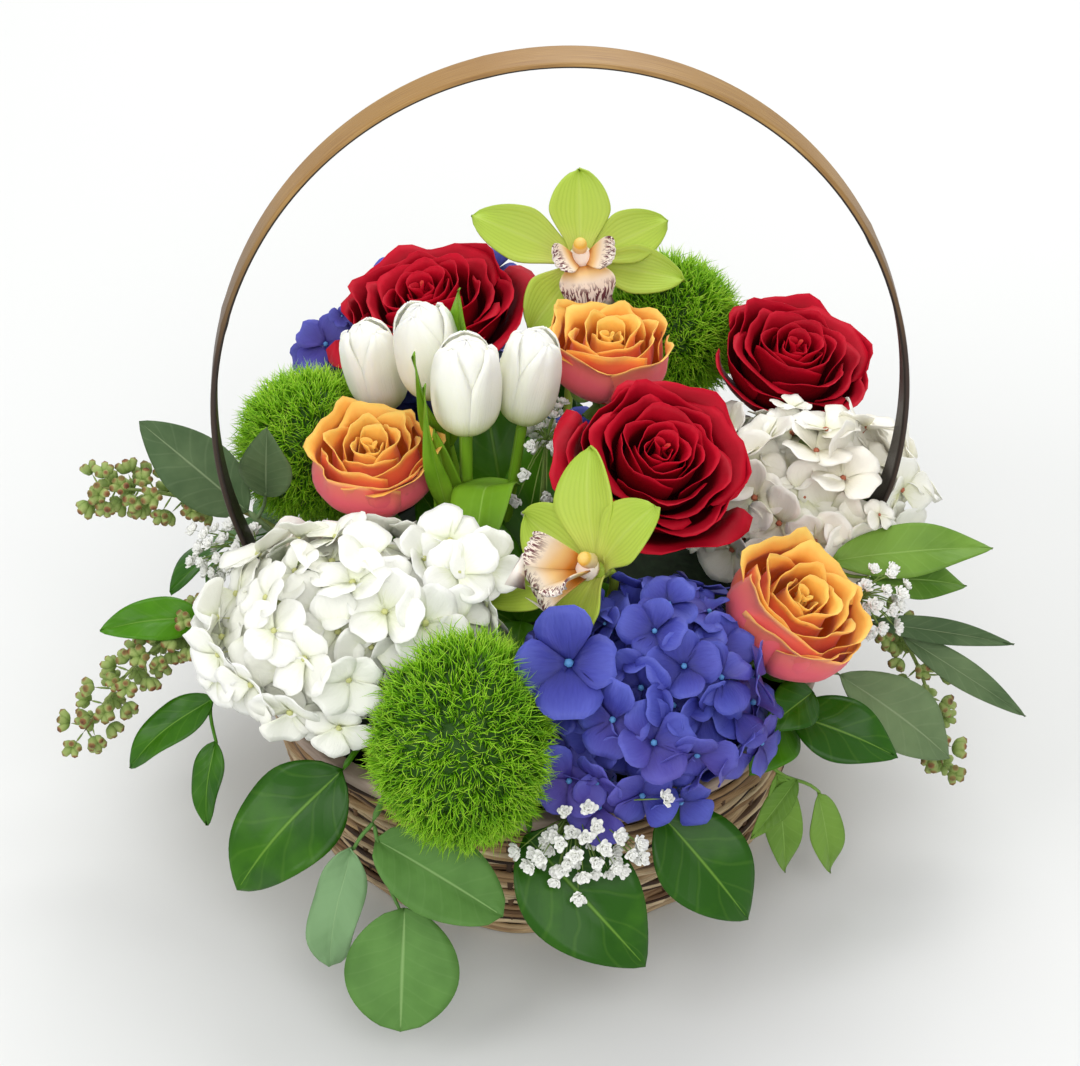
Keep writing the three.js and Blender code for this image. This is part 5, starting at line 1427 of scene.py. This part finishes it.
# baby's breath: many small ruffled blossoms on thin threads
clouds = {
    "breath_left": {"at": (-150, 4, 134), "room": (22, 16, 22), "foot": (-74, 4), "count": 44},
    "breath_front": {
        "at": (20, -164, 99), "room": (34, 14, 18), "foot": (10, -80), "count": 50,
        "extra": [(12, -160, 118), (2, -158, 112), (22, -162, 122), (34, -164, 116),
                  (48, -164, 120), (56, -160, 126), (8, -168, 84), (18, -172, 78)]},
    "breath_center": {
        "at": (6, 30, 190), "room": (16, 14, 16), "foot": (1, -2), "count": 26,
        "extra": [(-6, -2, 186), (4, -10, 179), (12, -8, 189), (-3, 6, 196), (7, 3, 198),
                  (-10, -10, 177), (0, -16, 171), (-14, 2, 182), (-4, -22, 178)]},
    "breath_right": {"at": (160, -42, 142), "room": (16, 18, 22), "foot": (82, -32), "count": 24},
}
blossom = {"kinds": 3, "radius": 5.0, "petals": 14, "margin": 2.5}


def blossomShapes(rng):
    shapes = []
    for kind in range(blossom["kinds"]):
        bm = newMesh()
        for order in range(blossom["petals"]):
            ring = order / blossom["petals"]
            turn = Matrix.Rotation(order * petalStep, 4, "Z") @ Matrix.Rotation(-lerp(1.15, 0.05, ring), 4, "Y")
            length = lerp(0.62, 1.0, ring) * rng.uniform(0.9, 1.1)

            def petal(u, v):
                half = 0.4 * math.sin(math.pi * (0.08 + 0.72 * u)) * length
                wave = 0.1 * u * math.sin(6 * v + order)
                return turn @ Vector((length * u * (1 - 0.15 * abs(v) * u), half * v, 0.25 * u * u + wave))
            addSheet(bm, 2, 3, petal, ring, 0.06)
        shapes.append(stored(bm, "blossom_%d" % kind))
    return shapes


def breathPaint():
    paint = Paint("small white blossom", {"Specular IOR Level": 0.25, "Subsurface Weight": 0.1,
                                          "Subsurface Radius": (0.002, 0.002, 0.002)})
    along, tone = paint.attribute("along"), paint.attribute("tone")
    patch = paint.noise(300, 2)
    color = paint.ramp(along + (patch - 0.5) * 0.4, [
        (0.0, (214, 220, 190)), (0.4, (242, 243, 236)), (1.0, (250, 250, 246))])
    color = paint.mix(paint.span(tone, 1.4, 1.6), color, (120, 146, 70))
    return paint.use(color=color, roughness=0.6 + patch * 0.1)


breathWhite = breathPaint()
breathRng = random.Random(31)
blossoms = blossomShapes(breathRng)


def makeCloud(name, at, room, foot, count, extra=()):
    bm = newMesh()
    center = Vector(at)
    toward = Vector((at[0] - foot[0], at[1] - foot[1], 0)).normalized()
    hub = center - toward * room[0] * 0.7
    addTube(bm, stemPath(hub, toward + zAxis * 0.4, foot=foot), lambda u: 1.2, 16, 6, 2.0)
    spots = [Vector(spot) for spot in extra]
    for direction in evenDirections(count):
        share = breathRng.uniform(0.45, 1.0) ** 0.6
        spots.append(center + Vector(direction[k] * (room[k] - 3) * share for k in range(3)))
    for spot in spots:
        if not clear(spot, name, blossom["margin"]):
            continue
        facing = (spot - hub).normalized() + zAxis * 0.5
        shape = breathRng.choice(blossoms)
        place = aimed(spot, facing, breathRng.uniform(0, 6), blossom["radius"] * breathRng.uniform(0.75, 1.05))
        if cuts(shape, place, name):
            continue
        bend = hub.lerp(spot, 0.5) + zAxis * 3
        line = threadPath([hub, bend, spot])
        addTube(bm, line, lambda u: 0.35, 5, 4, 2.0)
        addCopy(bm, shape, place)
    finishPiece(bm, name + "_blossoms", breathWhite, [name])


makeAll("baby's breath", makeCloud, clouds)
